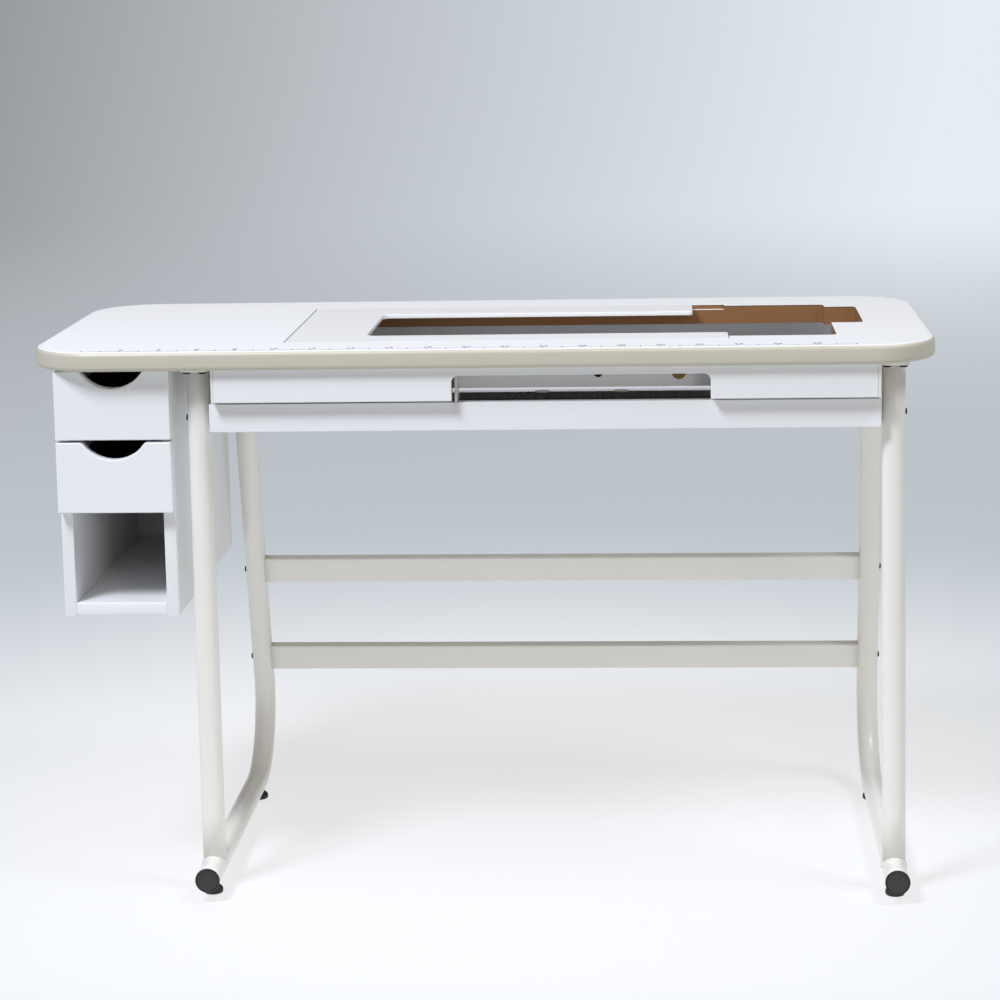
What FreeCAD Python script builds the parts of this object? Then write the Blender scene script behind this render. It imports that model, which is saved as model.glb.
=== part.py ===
"""Sewing table: a laminated top with a machine opening and a lift-out insert, on two bent-tube
side frames, with a fixed machine platform under the opening and a narrow hanging drawer unit.

Millimetres, +Z up, +X to the user's right, +Y away from the user. The origin is on the floor, in
the middle of the whole footprint. Depths named *_d are measured back from the top's front edge.
"""
import FreeCAD, Part

import math
import os

from FreeCAD import Vector

# ---------------------------------------------------------------- driving dimensions
TOP_W = 1200.0              # top, left to right
TOP_D = 500.0               # top, front to back
HEIGHT = 748.0              # working surface above the floor
TOP_T = 26.0                # top thickness
CORNER_R = 90.0             # plan radius of the top's corners
EDGE_W = 7.0                # width of the soft edge moulding round the top
EDGE_ROUND = 6.0            # rounding of the moulding, above and below
BOARD_T = 16.0              # melamine board of the drawer unit and aprons

TUBE_R = 15.5               # frame tube, outside radius
TUBE_WALL = 1.5
BEND_R = 110.0              # centreline radius of the bend at the back of the frame
LEAN = math.radians(13.4)   # lean of the rear leg towards the user
BEND_START_D = 414.5        # where the bottom run starts to bend upwards
FRAME_X = (-376.5, 543.0)   # centre planes of the left and right frames
FRONT_LEG_D = 55.0
TUBE_FRONT_D = -5.0         # open front end of the bottom tube, ahead of the top
FOOT_GAP = 16.0             # floor to the underside of the bottom tube
CAP_FLANGE_T = 3.0          # flange of the cap that closes the bottom tube

# ---------------------------------------------------------------- derived heights and depths
UNDERSIDE_Z = HEIGHT - TOP_T
TUBE_Z = FOOT_GAP + TUBE_R
FOREMOST_D = TUBE_FRONT_D - CAP_FLANGE_T                # faces of the end caps
REARMOST_D = BEND_START_D + BEND_R + TUBE_R             # backs of the frame's bends
FRONT_Y = -(FOREMOST_D + REARMOST_D) / 2                # the top's front edge

# top plates of the frames
PLATE_T = 4.0
PLATE_HALF_W = 19.0
PLATE_CORNER_R = 10.0
PLATE_D = (19.0, 432.0)
PLATE_SCREW_X = 10.5
PLATE_SCREW_DS = (28.5, 225.0, 421.0)
LEG_TOP_Z = UNDERSIDE_Z - PLATE_T

# levelling feet
FOOT_DS = {"front": 38.0, "rear": 440.0}
PAD_R = 13.0
PAD_T = 11.0
PAD_EASE = 1.5
STUD_R = 4.0
STUD_TOP_Z = 38.0
STUD_SEAT_Z = 4.0           # bottom of the stud's seat in the pad
NUT_R = 6.5
NUT_T = 10.0
THREAD_PLAY = 0.05

# end caps
CAP_FLANGE_R = TUBE_R + 1.1
CAP_PLUG_L = 14.0
CAP_EASE = 1.2

# stretchers between the rear legs
STRETCHER_H = 39.0
STRETCHER_D = 16.0
STRETCHER_CORNER_R = 2.5
STRETCHER_ZS = {"upper": 345.0, "lower": 201.0}
STRETCHER_BOLT_R = 3.0
STRETCHER_BOLT_REACH = 36.0
STRETCHER_NUT_X = (26.0, 34.0)
BOLT_HEAD_R = 4.2
BOLT_HEAD_T = 1.8
HEAD_EASE = 1.0             # rounding of bolt and screw heads
BOLT_SOCKET_R = 2.0
BOLT_SOCKET_DEPTH = 1.1

# aprons under the top
APRON_X = (-349.5, 520.0)
APRON_Z = (677.5, UNDERSIDE_Z)
FRONT_APRON_D = 12.0
REAR_APRON_D = 458.0
KNEE_NOTCH_X = (-34.5, 303.5)
KNEE_NOTCH_TOP_Z = 711.3
KNEE_NOTCH_R = 9.0
KNEE_GUARD_X = (-32.0, -28.5)
KNEE_GUARD_PLAY = 0.5       # gap over the platform's front rail
APRON_BRACKET_T = 3.0
APRON_BRACKET_D = 118.0
APRON_BRACKET_LEG = 30.0
APRON_SCREW_DS = (48.0, 100.0)

# board that hangs in front of the machine opening, and its cam fittings
WELL_BOARD_X = (-315.0, 485.0)
WELL_BOARD_D = 60.0
WELL_BOARD_Z = (687.0, UNDERSIDE_Z)
CAM_XS = (9.0, 262.5)
CAM_Z = 706.0
CAM_R = 9.5
CAM_DEPTH = 12.0
CAM_SLOT = (1.6, 2.0)       # width and depth of the slot in a cam's face
CAM_SLOT_TURN = 80.0        # degrees from level
CAM_DOWEL_R = 3.0
CAM_DOWEL_BITE = 11.0       # length of a dowel's thread in the top
TRIM_R = 12.0
TRIM_T = 1.2
SPARE_HOLE_X = 156.0
SPARE_HOLE_R = 6.0

# machine platform
RAIL_X = (-358.5, 525.0)
RAIL_Z = (636.0, 673.5)
FRONT_RAIL_D = 27.0
REAR_RAIL_D = 443.0
RAIL_EASE = 2.0
PLATFORM_Z = (648.0, 664.0)
MAT_T = 3.0
MAT_INSET = 3.0
MAT_W = 103.0               # front to back, of each strip
CLEAT_W = 18.0
PLATFORM_BOLT_Z = 652.0
PLATFORM_BOLT_R = 3.5
PLATFORM_BOLT_REACH = 54.0
SPACER_R = 8.0
REST_PAD_XS = (78.0, 184.5)
REST_PAD_DS = (149.0, 340.0)
REST_PAD_R = 10.7
REST_PAD_T = 4.0
REST_PAD_EASE = 1.0

# machine opening in the top and its insert
OPENING_X = (-264.5, 472.0)
OPENING_D = (75.0, 414.0)
STEP_X = 330.0              # right of here the opening's front edge stands further back
STEP_D = 98.0
REBATE_T = 6.0              # depth of the rebate that carries the insert
LEDGE_W = 10.0              # width of the ledge under the insert
NOTCH_X = 516.0             # right side of the cable notch
NOTCH_D = (216.0, 380.0)
ROUTER_R = 8.0              # radius left by the router in the opening's corners
REBATE_R = 3.0              # radius of the rebate's and the insert's outer corners
INSERT_NOSE_R = 6.0         # radius of the insert's two free ends beside the bed
INSERT_PLAY = 1.0
BED_X = -159.0              # left end of the gap for the machine's bed
BED_D = (134.0, 348.0)
BED_R = 13.0
INSERT_BACK_X = 284.0       # the strip behind the bed ends here

# drawer unit
UNIT_X = (-566.0, -411.0)
UNIT_D = (41.0, 470.0)
UNIT_Z = (383.0, UNDERSIDE_Z)
UNIT_FLOOR_Z = 386.0
UNIT_SHELF_Z = (530.0, 542.0)
UNIT_RAIL_DS = (110.0, 380.0)      # front edges of the two rails under the top
UNIT_RAIL_W = 50.0
PANEL_EASE = 0.8
RUNNER_W = 8.0
RUNNER_Z = (618.0, 630.0)
RUNNER_INSET_D = 12.0
UNIT_SCREW_XS = (-520.0, -459.0)

# drawers: heights of the front and of the box behind it
DRAWERS = {
    "upper": {"front_z": (627.0, 719.5), "box_z": (630.5, 692.0)},
    "lower": {"front_z": (528.5, 623.5), "box_z": (542.5, 598.0)},
}
DRAWER_FRONT_GAP = 0.5      # between a closed front and the unit
DRAWER_SIDE_PLAY = 1.5
DRAWER_SIDE_T = 10.0
DRAWER_BACK_D = 432.0
DRAWER_FLOOR_T = 4.0
SCOOP_DEPTH = 23.5          # finger scoop in a drawer front
SCOOP_R = 50.0
SCOOP_SHOULDER_R = 7.0
EASE = 1.2                  # small rounding of exposed board edges
OVERCUT = 1.0               # how far a cutter stands out of what it cuts

# wood screws
SCREW_HEAD_R = 5.5
SCREW_HEAD_T = 3.0
SCREW_R = 2.2
SCREW_LENGTH = 20.0


# ---------------------------------------------------------------- helpers
def back(depth):
    """Y of a depth measured back from the top's front edge."""
    return FRONT_Y + depth


def block(xs, ds, zs):
    """A box from its X range, depth range and Z range."""
    corner = Vector(xs[0], back(ds[0]), zs[0])
    return Part.makeBox(xs[1] - xs[0], ds[1] - ds[0], zs[1] - zs[0], corner)


def rod(radius, start, direction, length):
    return Part.makeCylinder(radius, length, start, direction)


def eased(shape, radius, keep):
    """Rounds the edges whose middle point the keep test accepts."""
    edges = [e for e in shape.Edges if keep(e.CenterOfMass)]
    return shape.makeFillet(radius, edges)


def near(value, target):
    return abs(value - target) < 1e-3


def rounded_plate(xs, ds, zs, radius):
    """A plate with its four vertical edges rounded."""
    plate = block(xs, ds, zs)
    upright = [e for e in plate.Edges if near(e.Vertexes[0].X, e.Vertexes[1].X)
               and near(e.Vertexes[0].Y, e.Vertexes[1].Y)]
    return plate.makeFillet(radius, upright)


def filleted_prism(points, radii, zs):
    """A prism on a plan outline of (x, depth) corners, each corner rounded by its own radius."""
    corners = [Vector(x, back(d), zs[0]) for x, d in points]
    edges = []
    ends = []
    for i, (corner, radius) in enumerate(zip(corners, radii)):
        to_last = (corners[i - 1] - corner).normalize()
        to_next = (corners[(i + 1) % len(corners)] - corner).normalize()
        half = to_last.getAngle(to_next) / 2
        reach = radius / math.tan(half)
        start = corner + to_last * reach
        end = corner + to_next * reach
        if radius > 0:
            towards_centre = (to_last + to_next).normalize()
            middle = corner + towards_centre * (radius / math.sin(half) - radius)
            edges.append(Part.Arc(start, middle, end).toShape())
        ends.append((start, end))
    for i, (_, end) in enumerate(ends):
        following = ends[(i + 1) % len(ends)][0]
        if (following - end).Length > 1e-6:
            edges.append(Part.makeLine(end, following))
    wire = Part.Wire(Part.__sortEdges__(edges))
    return Part.Face(wire).extrude(Vector(0, 0, zs[1] - zs[0]))


def save(name, *shapes):
    """Writes one node: one solid, or a group of separate solids."""
    solids = [solid for shape in shapes for solid in shape.Solids]
    shape = solids[0] if len(solids) == 1 else Part.makeCompound(solids)
    for solid in solids:
        if not solid.isValid() or solid.Volume <= 0:
            raise ValueError(name + " holds a bad solid")
    shape.exportStep(os.path.join("parts", name + ".step"))


# ---------------------------------------------------------------- side frames
def rear_leg_d(z):
    """Depth of the rear leg's axis at a height on its straight part."""
    bend_end_d = BEND_START_D + BEND_R * math.cos(LEAN)
    bend_end_z = TUBE_Z + BEND_R * (1 + math.sin(LEAN))
    return bend_end_d - (z - bend_end_z) * math.tan(LEAN)


def bent_tube_solid(x, radius):
    """Bottom run, bend and rear leg as one swept rod."""
    start = Vector(x, back(TUBE_FRONT_D), TUBE_Z)
    bend_start = Vector(x, back(BEND_START_D), TUBE_Z)
    bend_centre = Vector(x, back(BEND_START_D), TUBE_Z + BEND_R)
    turn = math.pi / 2 + LEAN

    def on_bend(angle):
        return bend_centre + Vector(0, math.sin(angle), -math.cos(angle)) * BEND_R

    top = Vector(x, back(rear_leg_d(LEG_TOP_Z)), LEG_TOP_Z)
    overrun = (top - on_bend(turn)).normalize() * TUBE_R
    path = Part.Wire([
        Part.makeLine(start, bend_start),
        Part.Arc(bend_start, on_bend(turn / 2), on_bend(turn)).toShape(),
        Part.makeLine(on_bend(turn), top + overrun),
    ])
    ring = Part.Wire(Part.makeCircle(radius, start, Vector(0, 1, 0)))
    swept = path.makePipeShell([ring], True, False)
    above = block((x - BEND_R, x + BEND_R), (0, TOP_D), (LEG_TOP_Z, HEIGHT))
    return swept.cut(above)


def bent_tube(x):
    hollow = bent_tube_solid(x, TUBE_R).cut(bent_tube_solid(x, TUBE_R - TUBE_WALL))
    for depth in FOOT_DS.values():
        hollow = hollow.cut(rod(NUT_R, Vector(x, back(depth), 0), Vector(0, 0, 1), TUBE_Z))
    return hollow


def front_leg(x):
    """Upright tube, cut to sit on the bottom tube."""
    base = Vector(x, back(FRONT_LEG_D), TUBE_Z)
    length = LEG_TOP_Z - TUBE_Z
    outer = rod(TUBE_R, base, Vector(0, 0, 1), length)
    inner = rod(TUBE_R - TUBE_WALL, base, Vector(0, 0, 1), length)
    run = rod(TUBE_R, Vector(x, back(0), TUBE_Z), Vector(0, 1, 0), BEND_START_D)
    return outer.cut(inner).cut(run)


def top_plate(x):
    """Flat bar welded across the tops of both legs, screwed to the top."""
    return rounded_plate((x - PLATE_HALF_W, x + PLATE_HALF_W), PLATE_D, (LEG_TOP_Z, UNDERSIDE_Z),
                         PLATE_CORNER_R)


def end_cap(x):
    """Push-in cap that closes the front end of the bottom tube."""
    face = Vector(x, back(TUBE_FRONT_D), TUBE_Z)
    flange = rod(CAP_FLANGE_R, face, Vector(0, -1, 0), CAP_FLANGE_T)
    flange = eased(flange, CAP_EASE, lambda p: p.y < back(TUBE_FRONT_D - CAP_FLANGE_T) + 1e-3)
    plug = rod(TUBE_R - TUBE_WALL, face, Vector(0, 1, 0), CAP_PLUG_L)
    return flange.fuse(plug).removeSplitter()


def foot_nut(x, depth):
    """Threaded boss welded through the underside of the bottom tube."""
    base = Vector(x, back(depth), FOOT_GAP)
    return rod(NUT_R, base, Vector(0, 0, 1), NUT_T).cut(
        rod(STUD_R + THREAD_PLAY, base, Vector(0, 0, 1), NUT_T))


def foot_stud(x, depth):
    base = Vector(x, back(depth), STUD_SEAT_Z)
    return rod(STUD_R, base, Vector(0, 0, 1), STUD_TOP_Z - STUD_SEAT_Z)


def foot_pad(x, depth):
    base = Vector(x, back(depth), 0)
    pad = rod(PAD_R, base, Vector(0, 0, 1), PAD_T)
    pad = eased(pad, PAD_EASE, lambda p: near(p.z, 0) or near(p.z, PAD_T))
    return pad.cut(foot_stud(x, depth))


def plate_screw_points():
    return [(x + side * PLATE_SCREW_X, depth, LEG_TOP_Z)
            for x in FRAME_X for side in (-1, 1) for depth in PLATE_SCREW_DS]


def wood_screws(points):
    """Pan-head screws driven up into the top, heads under the height given with each point."""
    screws = []
    for x, depth, z in points:
        base = Vector(x, back(depth), z)
        head = rod(SCREW_HEAD_R, base, Vector(0, 0, -1), SCREW_HEAD_T)
        head = eased(head, HEAD_EASE, lambda p, low=z - SCREW_HEAD_T: near(p.z, low))
        screws.append(head.fuse(rod(SCREW_R, base, Vector(0, 0, 1), SCREW_LENGTH)).removeSplitter())
    return screws


def cut_all(shape, tools):
    for tool in tools:
        shape = shape.cut(tool)
    return shape


# ---------------------------------------------------------------- stretchers
def outward(x):
    """+1 on the right frame and -1 on the left: the way from the middle of the table."""
    return 1.0 if x > 0 else -1.0


def leaned(shape, z):
    """Turns a shape about the rear legs' axis at a height, to stand in line with them."""
    centre = Vector(0, back(rear_leg_d(z)), z)
    return shape.rotate(centre, Vector(1, 0, 0), math.degrees(LEAN))


def rounded_x_bar(xs, ds, zs, radius):
    """A bar along X with its four long edges rounded."""
    bar = block(xs, ds, zs)
    long_edges = [e for e in bar.Edges if abs(e.Vertexes[0].X - e.Vertexes[1].X) > 1.0]
    return bar.makeFillet(radius, long_edges)


def stretcher(z):
    """Rectangular tube between the rear legs, in line with them, its ends cut to fit their curve."""
    depth = rear_leg_d(z)
    half_d = STRETCHER_D / 2
    half_h = STRETCHER_H / 2
    bar = rounded_x_bar(FRAME_X, (depth - half_d, depth + half_d), (z - half_h, z + half_h),
                        STRETCHER_CORNER_R)
    half_d -= TUBE_WALL
    half_h -= TUBE_WALL
    core = block(FRAME_X, (depth - half_d, depth + half_d), (z - half_h, z + half_h))
    tube = leaned(bar.cut(core), z)
    return cut_all(tube, [bent_tube_solid(x, TUBE_R) for x in FRAME_X])


def stretcher_nuts(bolts):
    """Tapped blocks inside the stretcher ends."""
    nuts = []
    half_d = STRETCHER_D / 2 - TUBE_WALL
    half_h = STRETCHER_H / 2 - TUBE_WALL
    for z in STRETCHER_ZS.values():
        depth = rear_leg_d(z)
        for x in FRAME_X:
            ends = sorted(x - outward(x) * reach for reach in STRETCHER_NUT_X)
            nut = block(ends, (depth - half_d, depth + half_d), (z - half_h, z + half_h))
            nuts.append(cut_all(leaned(nut, z), bolts))
    return nuts


def side_bolt(x, depth, z, radius, reach):
    """Bolt driven from outside through a leg, towards the middle of the table."""
    inwards = Vector(-outward(x), 0, 0)
    seat = Vector(x + outward(x) * TUBE_R, back(depth), z)
    shank = rod(radius, seat, inwards, reach)
    head = rod(BOLT_HEAD_R, seat, inwards * -1, BOLT_HEAD_T)
    outer_face = seat.x + outward(x) * BOLT_HEAD_T
    head = eased(head, HEAD_EASE, lambda p: near(p.x, outer_face))
    socket = rod(BOLT_SOCKET_R, Vector(outer_face, seat.y, z), inwards, BOLT_SOCKET_DEPTH)
    return head.fuse(shank).removeSplitter().cut(socket)


def stretcher_bolts():
    return [side_bolt(x, rear_leg_d(z), z, STRETCHER_BOLT_R, STRETCHER_BOLT_REACH)
            for z in STRETCHER_ZS.values() for x in FRAME_X]


# ---------------------------------------------------------------- top and insert
def outline_plate(inset, zs):
    return rounded_plate((-TOP_W / 2 + inset, TOP_W / 2 - inset), (inset, TOP_D - inset), zs,
                         CORNER_R - inset)


def opening_cutters():
    """The through opening with its cable notch, and the shallow rebate for the insert."""
    deep = (UNDERSIDE_Z - OVERCUT, HEIGHT + OVERCUT)
    left, right = OPENING_X
    front, rear = OPENING_D
    through = filleted_prism(
        [(left + LEDGE_W, front + LEDGE_W), (STEP_X - LEDGE_W, front + LEDGE_W),
         (STEP_X - LEDGE_W, STEP_D), (right, STEP_D), (right, NOTCH_D[0]), (NOTCH_X, NOTCH_D[0]),
         (NOTCH_X, NOTCH_D[1]), (right, NOTCH_D[1]), (right, rear - LEDGE_W),
         (left + LEDGE_W, rear - LEDGE_W)],
        [ROUTER_R, ROUTER_R, 0, ROUTER_R, 0, ROUTER_R, ROUTER_R, 0, ROUTER_R, ROUTER_R], deep)
    rebate = filleted_prism(
        [(left, front), (STEP_X, front), (STEP_X, STEP_D), (STEP_X, rear), (left, rear)],
        [REBATE_R, REBATE_R, 0, 0, REBATE_R], (HEIGHT - REBATE_T, HEIGHT + OVERCUT))
    return through, rebate


def tabletop(screws):
    board = outline_plate(EDGE_W, (UNDERSIDE_Z, HEIGHT))
    return cut_all(board, [*opening_cutters(), *screws])


def edge_moulding():
    """Soft rounded band all round the top."""
    band = outline_plate(0, (UNDERSIDE_Z, HEIGHT))
    band = eased(band, EDGE_ROUND, lambda p: near(p.z, HEIGHT) or near(p.z, UNDERSIDE_Z))
    return band.cut(outline_plate(EDGE_W, (UNDERSIDE_Z, HEIGHT)))


def insert_plate():
    """Lift-out plate that fills the opening round the machine's bed."""
    left = OPENING_X[0] + INSERT_PLAY
    front = OPENING_D[0] + INSERT_PLAY
    rear = OPENING_D[1] - INSERT_PLAY
    right = STEP_X - INSERT_PLAY
    return filleted_prism(
        [(left, front), (right, front), (right, BED_D[0]), (BED_X, BED_D[0]), (BED_X, BED_D[1]),
         (INSERT_BACK_X, BED_D[1]), (INSERT_BACK_X, rear), (left, rear)],
        [REBATE_R, REBATE_R, INSERT_NOSE_R, BED_R, BED_R, INSERT_NOSE_R, REBATE_R, REBATE_R],
        (HEIGHT - REBATE_T, HEIGHT))


# ---------------------------------------------------------------- aprons
def front_apron():
    """Front board under the top, cut away in the middle for a knee lifter."""
    board = block(APRON_X, (FRONT_APRON_D, FRONT_APRON_D + BOARD_T), APRON_Z)
    front_y = back(FRONT_APRON_D)
    notch = block(KNEE_NOTCH_X, (0, TOP_D), (APRON_Z[0] - KNEE_NOTCH_R, KNEE_NOTCH_TOP_Z))
    upper = [e for e in notch.Edges if near(e.CenterOfMass.z, KNEE_NOTCH_TOP_Z)
             and abs(e.Vertexes[0].Y - e.Vertexes[1].Y) > 1.0]
    board = board.cut(notch.makeFillet(KNEE_NOTCH_R, upper))
    return eased(board, EASE, lambda p: near(p.y, front_y) and near(p.z, APRON_Z[0]))


def rear_apron():
    return block(APRON_X, (REAR_APRON_D, REAR_APRON_D + BOARD_T), APRON_Z)


def knee_guard():
    """Thin cheek between the apron and the well board, at the left end of the knee notch."""
    zs = (RAIL_Z[1] + KNEE_GUARD_PLAY, UNDERSIDE_Z)
    return block(KNEE_GUARD_X, (FRONT_APRON_D + BOARD_T, WELL_BOARD_D), zs)


def apron_bracket(side, inner):
    """Steel angle that closes an end of the front apron and holds it to the top."""
    plate = block(sorted((inner, inner + side * APRON_BRACKET_T)), (FRONT_APRON_D, APRON_BRACKET_D), APRON_Z)
    flange = block(sorted((inner, inner - side * APRON_BRACKET_LEG)),
                   (FRONT_APRON_D + BOARD_T, APRON_BRACKET_D), (UNDERSIDE_Z - APRON_BRACKET_T, UNDERSIDE_Z))
    return plate.fuse(flange).removeSplitter()


def apron_bracket_screw_points():
    middle = APRON_BRACKET_LEG / 2
    z = UNDERSIDE_Z - APRON_BRACKET_T
    return [(x, depth, z) for x in (APRON_X[0] + middle, APRON_X[1] - middle) for depth in APRON_SCREW_DS]


# ---------------------------------------------------------------- well board and its fittings
def well_board_face(x):
    """Point on the front face of the well board at the height of the cams."""
    return Vector(x, back(WELL_BOARD_D), CAM_Z)


def cam_dowel(x):
    """Dowel that a cam draws down, screwed into the top."""
    base = Vector(x, back(WELL_BOARD_D + CAM_DEPTH / 2), CAM_Z)
    return rod(CAM_DOWEL_R, base, Vector(0, 0, 1), UNDERSIDE_Z - CAM_Z + CAM_DOWEL_BITE)


def cam(x):
    """Slotted cam, turned with a screwdriver."""
    barrel = rod(CAM_R, well_board_face(x), Vector(0, 1, 0), CAM_DEPTH)
    half_slot = CAM_SLOT[0] / 2
    slot = block((x - CAM_R, x + CAM_R), (WELL_BOARD_D, WELL_BOARD_D + CAM_SLOT[1]),
                 (CAM_Z - half_slot, CAM_Z + half_slot))
    slot = slot.rotate(well_board_face(x), Vector(0, 1, 0), CAM_SLOT_TURN)
    return cut_all(barrel, [slot, cam_dowel(x)])


def well_board():
    """Board that hangs from the top between the apron and the machine opening."""
    board = block(WELL_BOARD_X, (WELL_BOARD_D, WELL_BOARD_D + BOARD_T), WELL_BOARD_Z)
    pockets = [rod(CAM_R, well_board_face(x), Vector(0, 1, 0), CAM_DEPTH) for x in CAM_XS]
    spare = rod(SPARE_HOLE_R, well_board_face(SPARE_HOLE_X), Vector(0, 1, 0), CAM_DEPTH)
    return cut_all(board, [*pockets, spare, *[cam_dowel(x) for x in CAM_XS]])


def cam_trims():
    """A closed cover over the left cam and an open ring round the right one."""
    cover, ring = [rod(TRIM_R, well_board_face(x), Vector(0, -1, 0), TRIM_T) for x in CAM_XS]
    return cover, ring.cut(rod(CAM_R, well_board_face(CAM_XS[1]), Vector(0, -1, 0), TRIM_T))


# ---------------------------------------------------------------- machine platform
def platform_rails(bolts):
    xs, ds = platform_span()
    rails = {
        "platform_front_rail": block(RAIL_X, (FRONT_RAIL_D, ds[0]), RAIL_Z),
        "platform_rear_rail": block(RAIL_X, (REAR_RAIL_D, REAR_RAIL_D + BOARD_T), RAIL_Z),
        "platform_left_rail": block((RAIL_X[0], xs[0]), ds, RAIL_Z),
        "platform_right_rail": block((xs[1], RAIL_X[1]), ds, RAIL_Z),
    }
    front_y = back(FRONT_RAIL_D)
    front = eased(rails["platform_front_rail"], RAIL_EASE, lambda p: near(p.y, front_y))
    rails["platform_front_rail"] = front
    return {name: cut_all(rail, bolts) for name, rail in rails.items()}


def platform_span():
    """X and depth ranges of the space inside the platform's rails."""
    return (RAIL_X[0] + BOARD_T, RAIL_X[1] - BOARD_T), (FRONT_RAIL_D + BOARD_T, REAR_RAIL_D)


def platform_board(bolts):
    xs, ds = platform_span()
    return cut_all(block(xs, ds, PLATFORM_Z), bolts)


def platform_mats():
    """Non-slip strips along the front and the back of the board, fitted round the rests."""
    xs, ds = platform_span()
    strip_x = (xs[0] + MAT_INSET, xs[1] - MAT_INSET)
    strip_z = (PLATFORM_Z[1], PLATFORM_Z[1] + MAT_T)
    front = block(strip_x, (ds[0] + MAT_INSET, ds[0] + MAT_INSET + MAT_W), strip_z)
    rear = block(strip_x, (ds[1] - MAT_INSET - MAT_W, ds[1] - MAT_INSET), strip_z)
    return cut_all(front, rest_pads()), cut_all(rear, rest_pads())


def rest_pads():
    """Round rests that carry the machine."""
    pads = []
    for x in REST_PAD_XS:
        for depth in REST_PAD_DS:
            pad = rod(REST_PAD_R, Vector(x, back(depth), PLATFORM_Z[1]), Vector(0, 0, 1), REST_PAD_T)
            pads.append(eased(pad, REST_PAD_EASE, lambda p: near(p.z, PLATFORM_Z[1] + REST_PAD_T)))
    return pads


def platform_cleats():
    """Battens under the board's two ends."""
    xs, ds = platform_span()
    zs = (RAIL_Z[0], PLATFORM_Z[0])
    return [block((xs[0], xs[0] + CLEAT_W), ds, zs), block((xs[1] - CLEAT_W, xs[1]), ds, zs)]


def platform_bolt_places():
    return [(x, depth) for x in FRAME_X for depth in (FRONT_LEG_D, rear_leg_d(PLATFORM_BOLT_Z))]


def platform_bolts():
    return [side_bolt(x, depth, PLATFORM_BOLT_Z, PLATFORM_BOLT_R, PLATFORM_BOLT_REACH)
            for x, depth in platform_bolt_places()]


def platform_spacers(bolts):
    """Washers between the legs and the rails."""
    spacers = []
    for x, depth in platform_bolt_places():
        inner_x = x - outward(x) * TUBE_R
        rail_x = RAIL_X[0] if x < 0 else RAIL_X[1]
        start = Vector(inner_x, back(depth), PLATFORM_BOLT_Z)
        spacers.append(rod(SPACER_R, start, Vector(-outward(x), 0, 0), abs(rail_x - inner_x)))
    return [cut_all(spacer, bolts) for spacer in spacers]


# ---------------------------------------------------------------- drawer unit
def unit_inside():
    return (UNIT_X[0] + BOARD_T, UNIT_X[1] - BOARD_T)


def unit_panels():
    inside = unit_inside()
    rear_d = (UNIT_D[1] - BOARD_T, UNIT_D[1])
    floor_z = (UNIT_FLOOR_Z, UNIT_FLOOR_Z + BOARD_T)
    panels = {
        "unit_left_panel": block((UNIT_X[0], inside[0]), UNIT_D, UNIT_Z),
        "unit_right_panel": block((inside[1], UNIT_X[1]), UNIT_D, UNIT_Z),
        "unit_floor": block(inside, UNIT_D, floor_z),
        "unit_middle_shelf": block(inside, (UNIT_D[0], rear_d[0]), UNIT_SHELF_Z),
        "unit_back_panel": block(inside, rear_d, (floor_z[1], UNIT_Z[1])),
    }
    front_y = back(UNIT_D[0])
    for name in ("unit_left_panel", "unit_right_panel", "unit_floor"):
        panels[name] = eased(panels[name], PANEL_EASE, lambda p: near(p.y, front_y))
    return panels


def unit_top_rails():
    """Two cross rails inside the unit, which take the screws into the top."""
    zs = (UNDERSIDE_Z - BOARD_T, UNDERSIDE_Z)
    return [block(unit_inside(), (depth, depth + UNIT_RAIL_W), zs) for depth in UNIT_RAIL_DS]


def unit_screw_points():
    middle = UNIT_RAIL_W / 2
    z = UNDERSIDE_Z - BOARD_T
    return [(x, depth + middle, z) for x in UNIT_SCREW_XS for depth in UNIT_RAIL_DS]


def drawer_runners():
    """Battens on the inner faces of the unit, which carry the upper drawer."""
    left, right = unit_inside()
    ds = (UNIT_D[0] + RUNNER_INSET_D, UNIT_D[1] - BOARD_T)
    return [block((left, left + RUNNER_W), ds, RUNNER_Z), block((right - RUNNER_W, right), ds, RUNNER_Z)]


def scoop(top_z):
    """Cutter for the finger scoop: one wide arc that meets the top edge in two small shoulders."""
    middle_x = (UNIT_X[0] + UNIT_X[1]) / 2
    y = back(FOREMOST_D)
    centre_gap = SCOOP_R + SCOOP_SHOULDER_R
    reach = math.sqrt(2 * SCOOP_DEPTH * centre_gap - SCOOP_DEPTH ** 2)
    centre = Vector(middle_x, y, top_z - SCOOP_DEPTH + SCOOP_R)
    bottom = Vector(middle_x, y, top_z - SCOOP_DEPTH)
    edges = []
    joins = []
    tops = []
    for side in (-1, 1):
        shoulder = Vector(middle_x + side * reach, y, top_z - SCOOP_SHOULDER_R)
        join = centre + (shoulder - centre) * (SCOOP_R / centre_gap)
        top = Vector(shoulder.x, y, top_z)
        halfway = ((join - shoulder) + (top - shoulder)).normalize() * SCOOP_SHOULDER_R
        edges.append(Part.Arc(join, shoulder + halfway, top).toShape())
        joins.append(join)
        tops.append(top)
    edges.append(Part.Arc(joins[0], bottom, joins[1]).toShape())
    above = Vector(0, 0, OVERCUT)
    edges += [Part.makeLine(tops[0], tops[0] + above), Part.makeLine(tops[0] + above, tops[1] + above),
              Part.makeLine(tops[1] + above, tops[1])]
    wire = Part.Wire(Part.__sortEdges__(edges))
    return Part.Face(wire).extrude(Vector(0, UNIT_D[0] - FOREMOST_D, 0))


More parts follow.
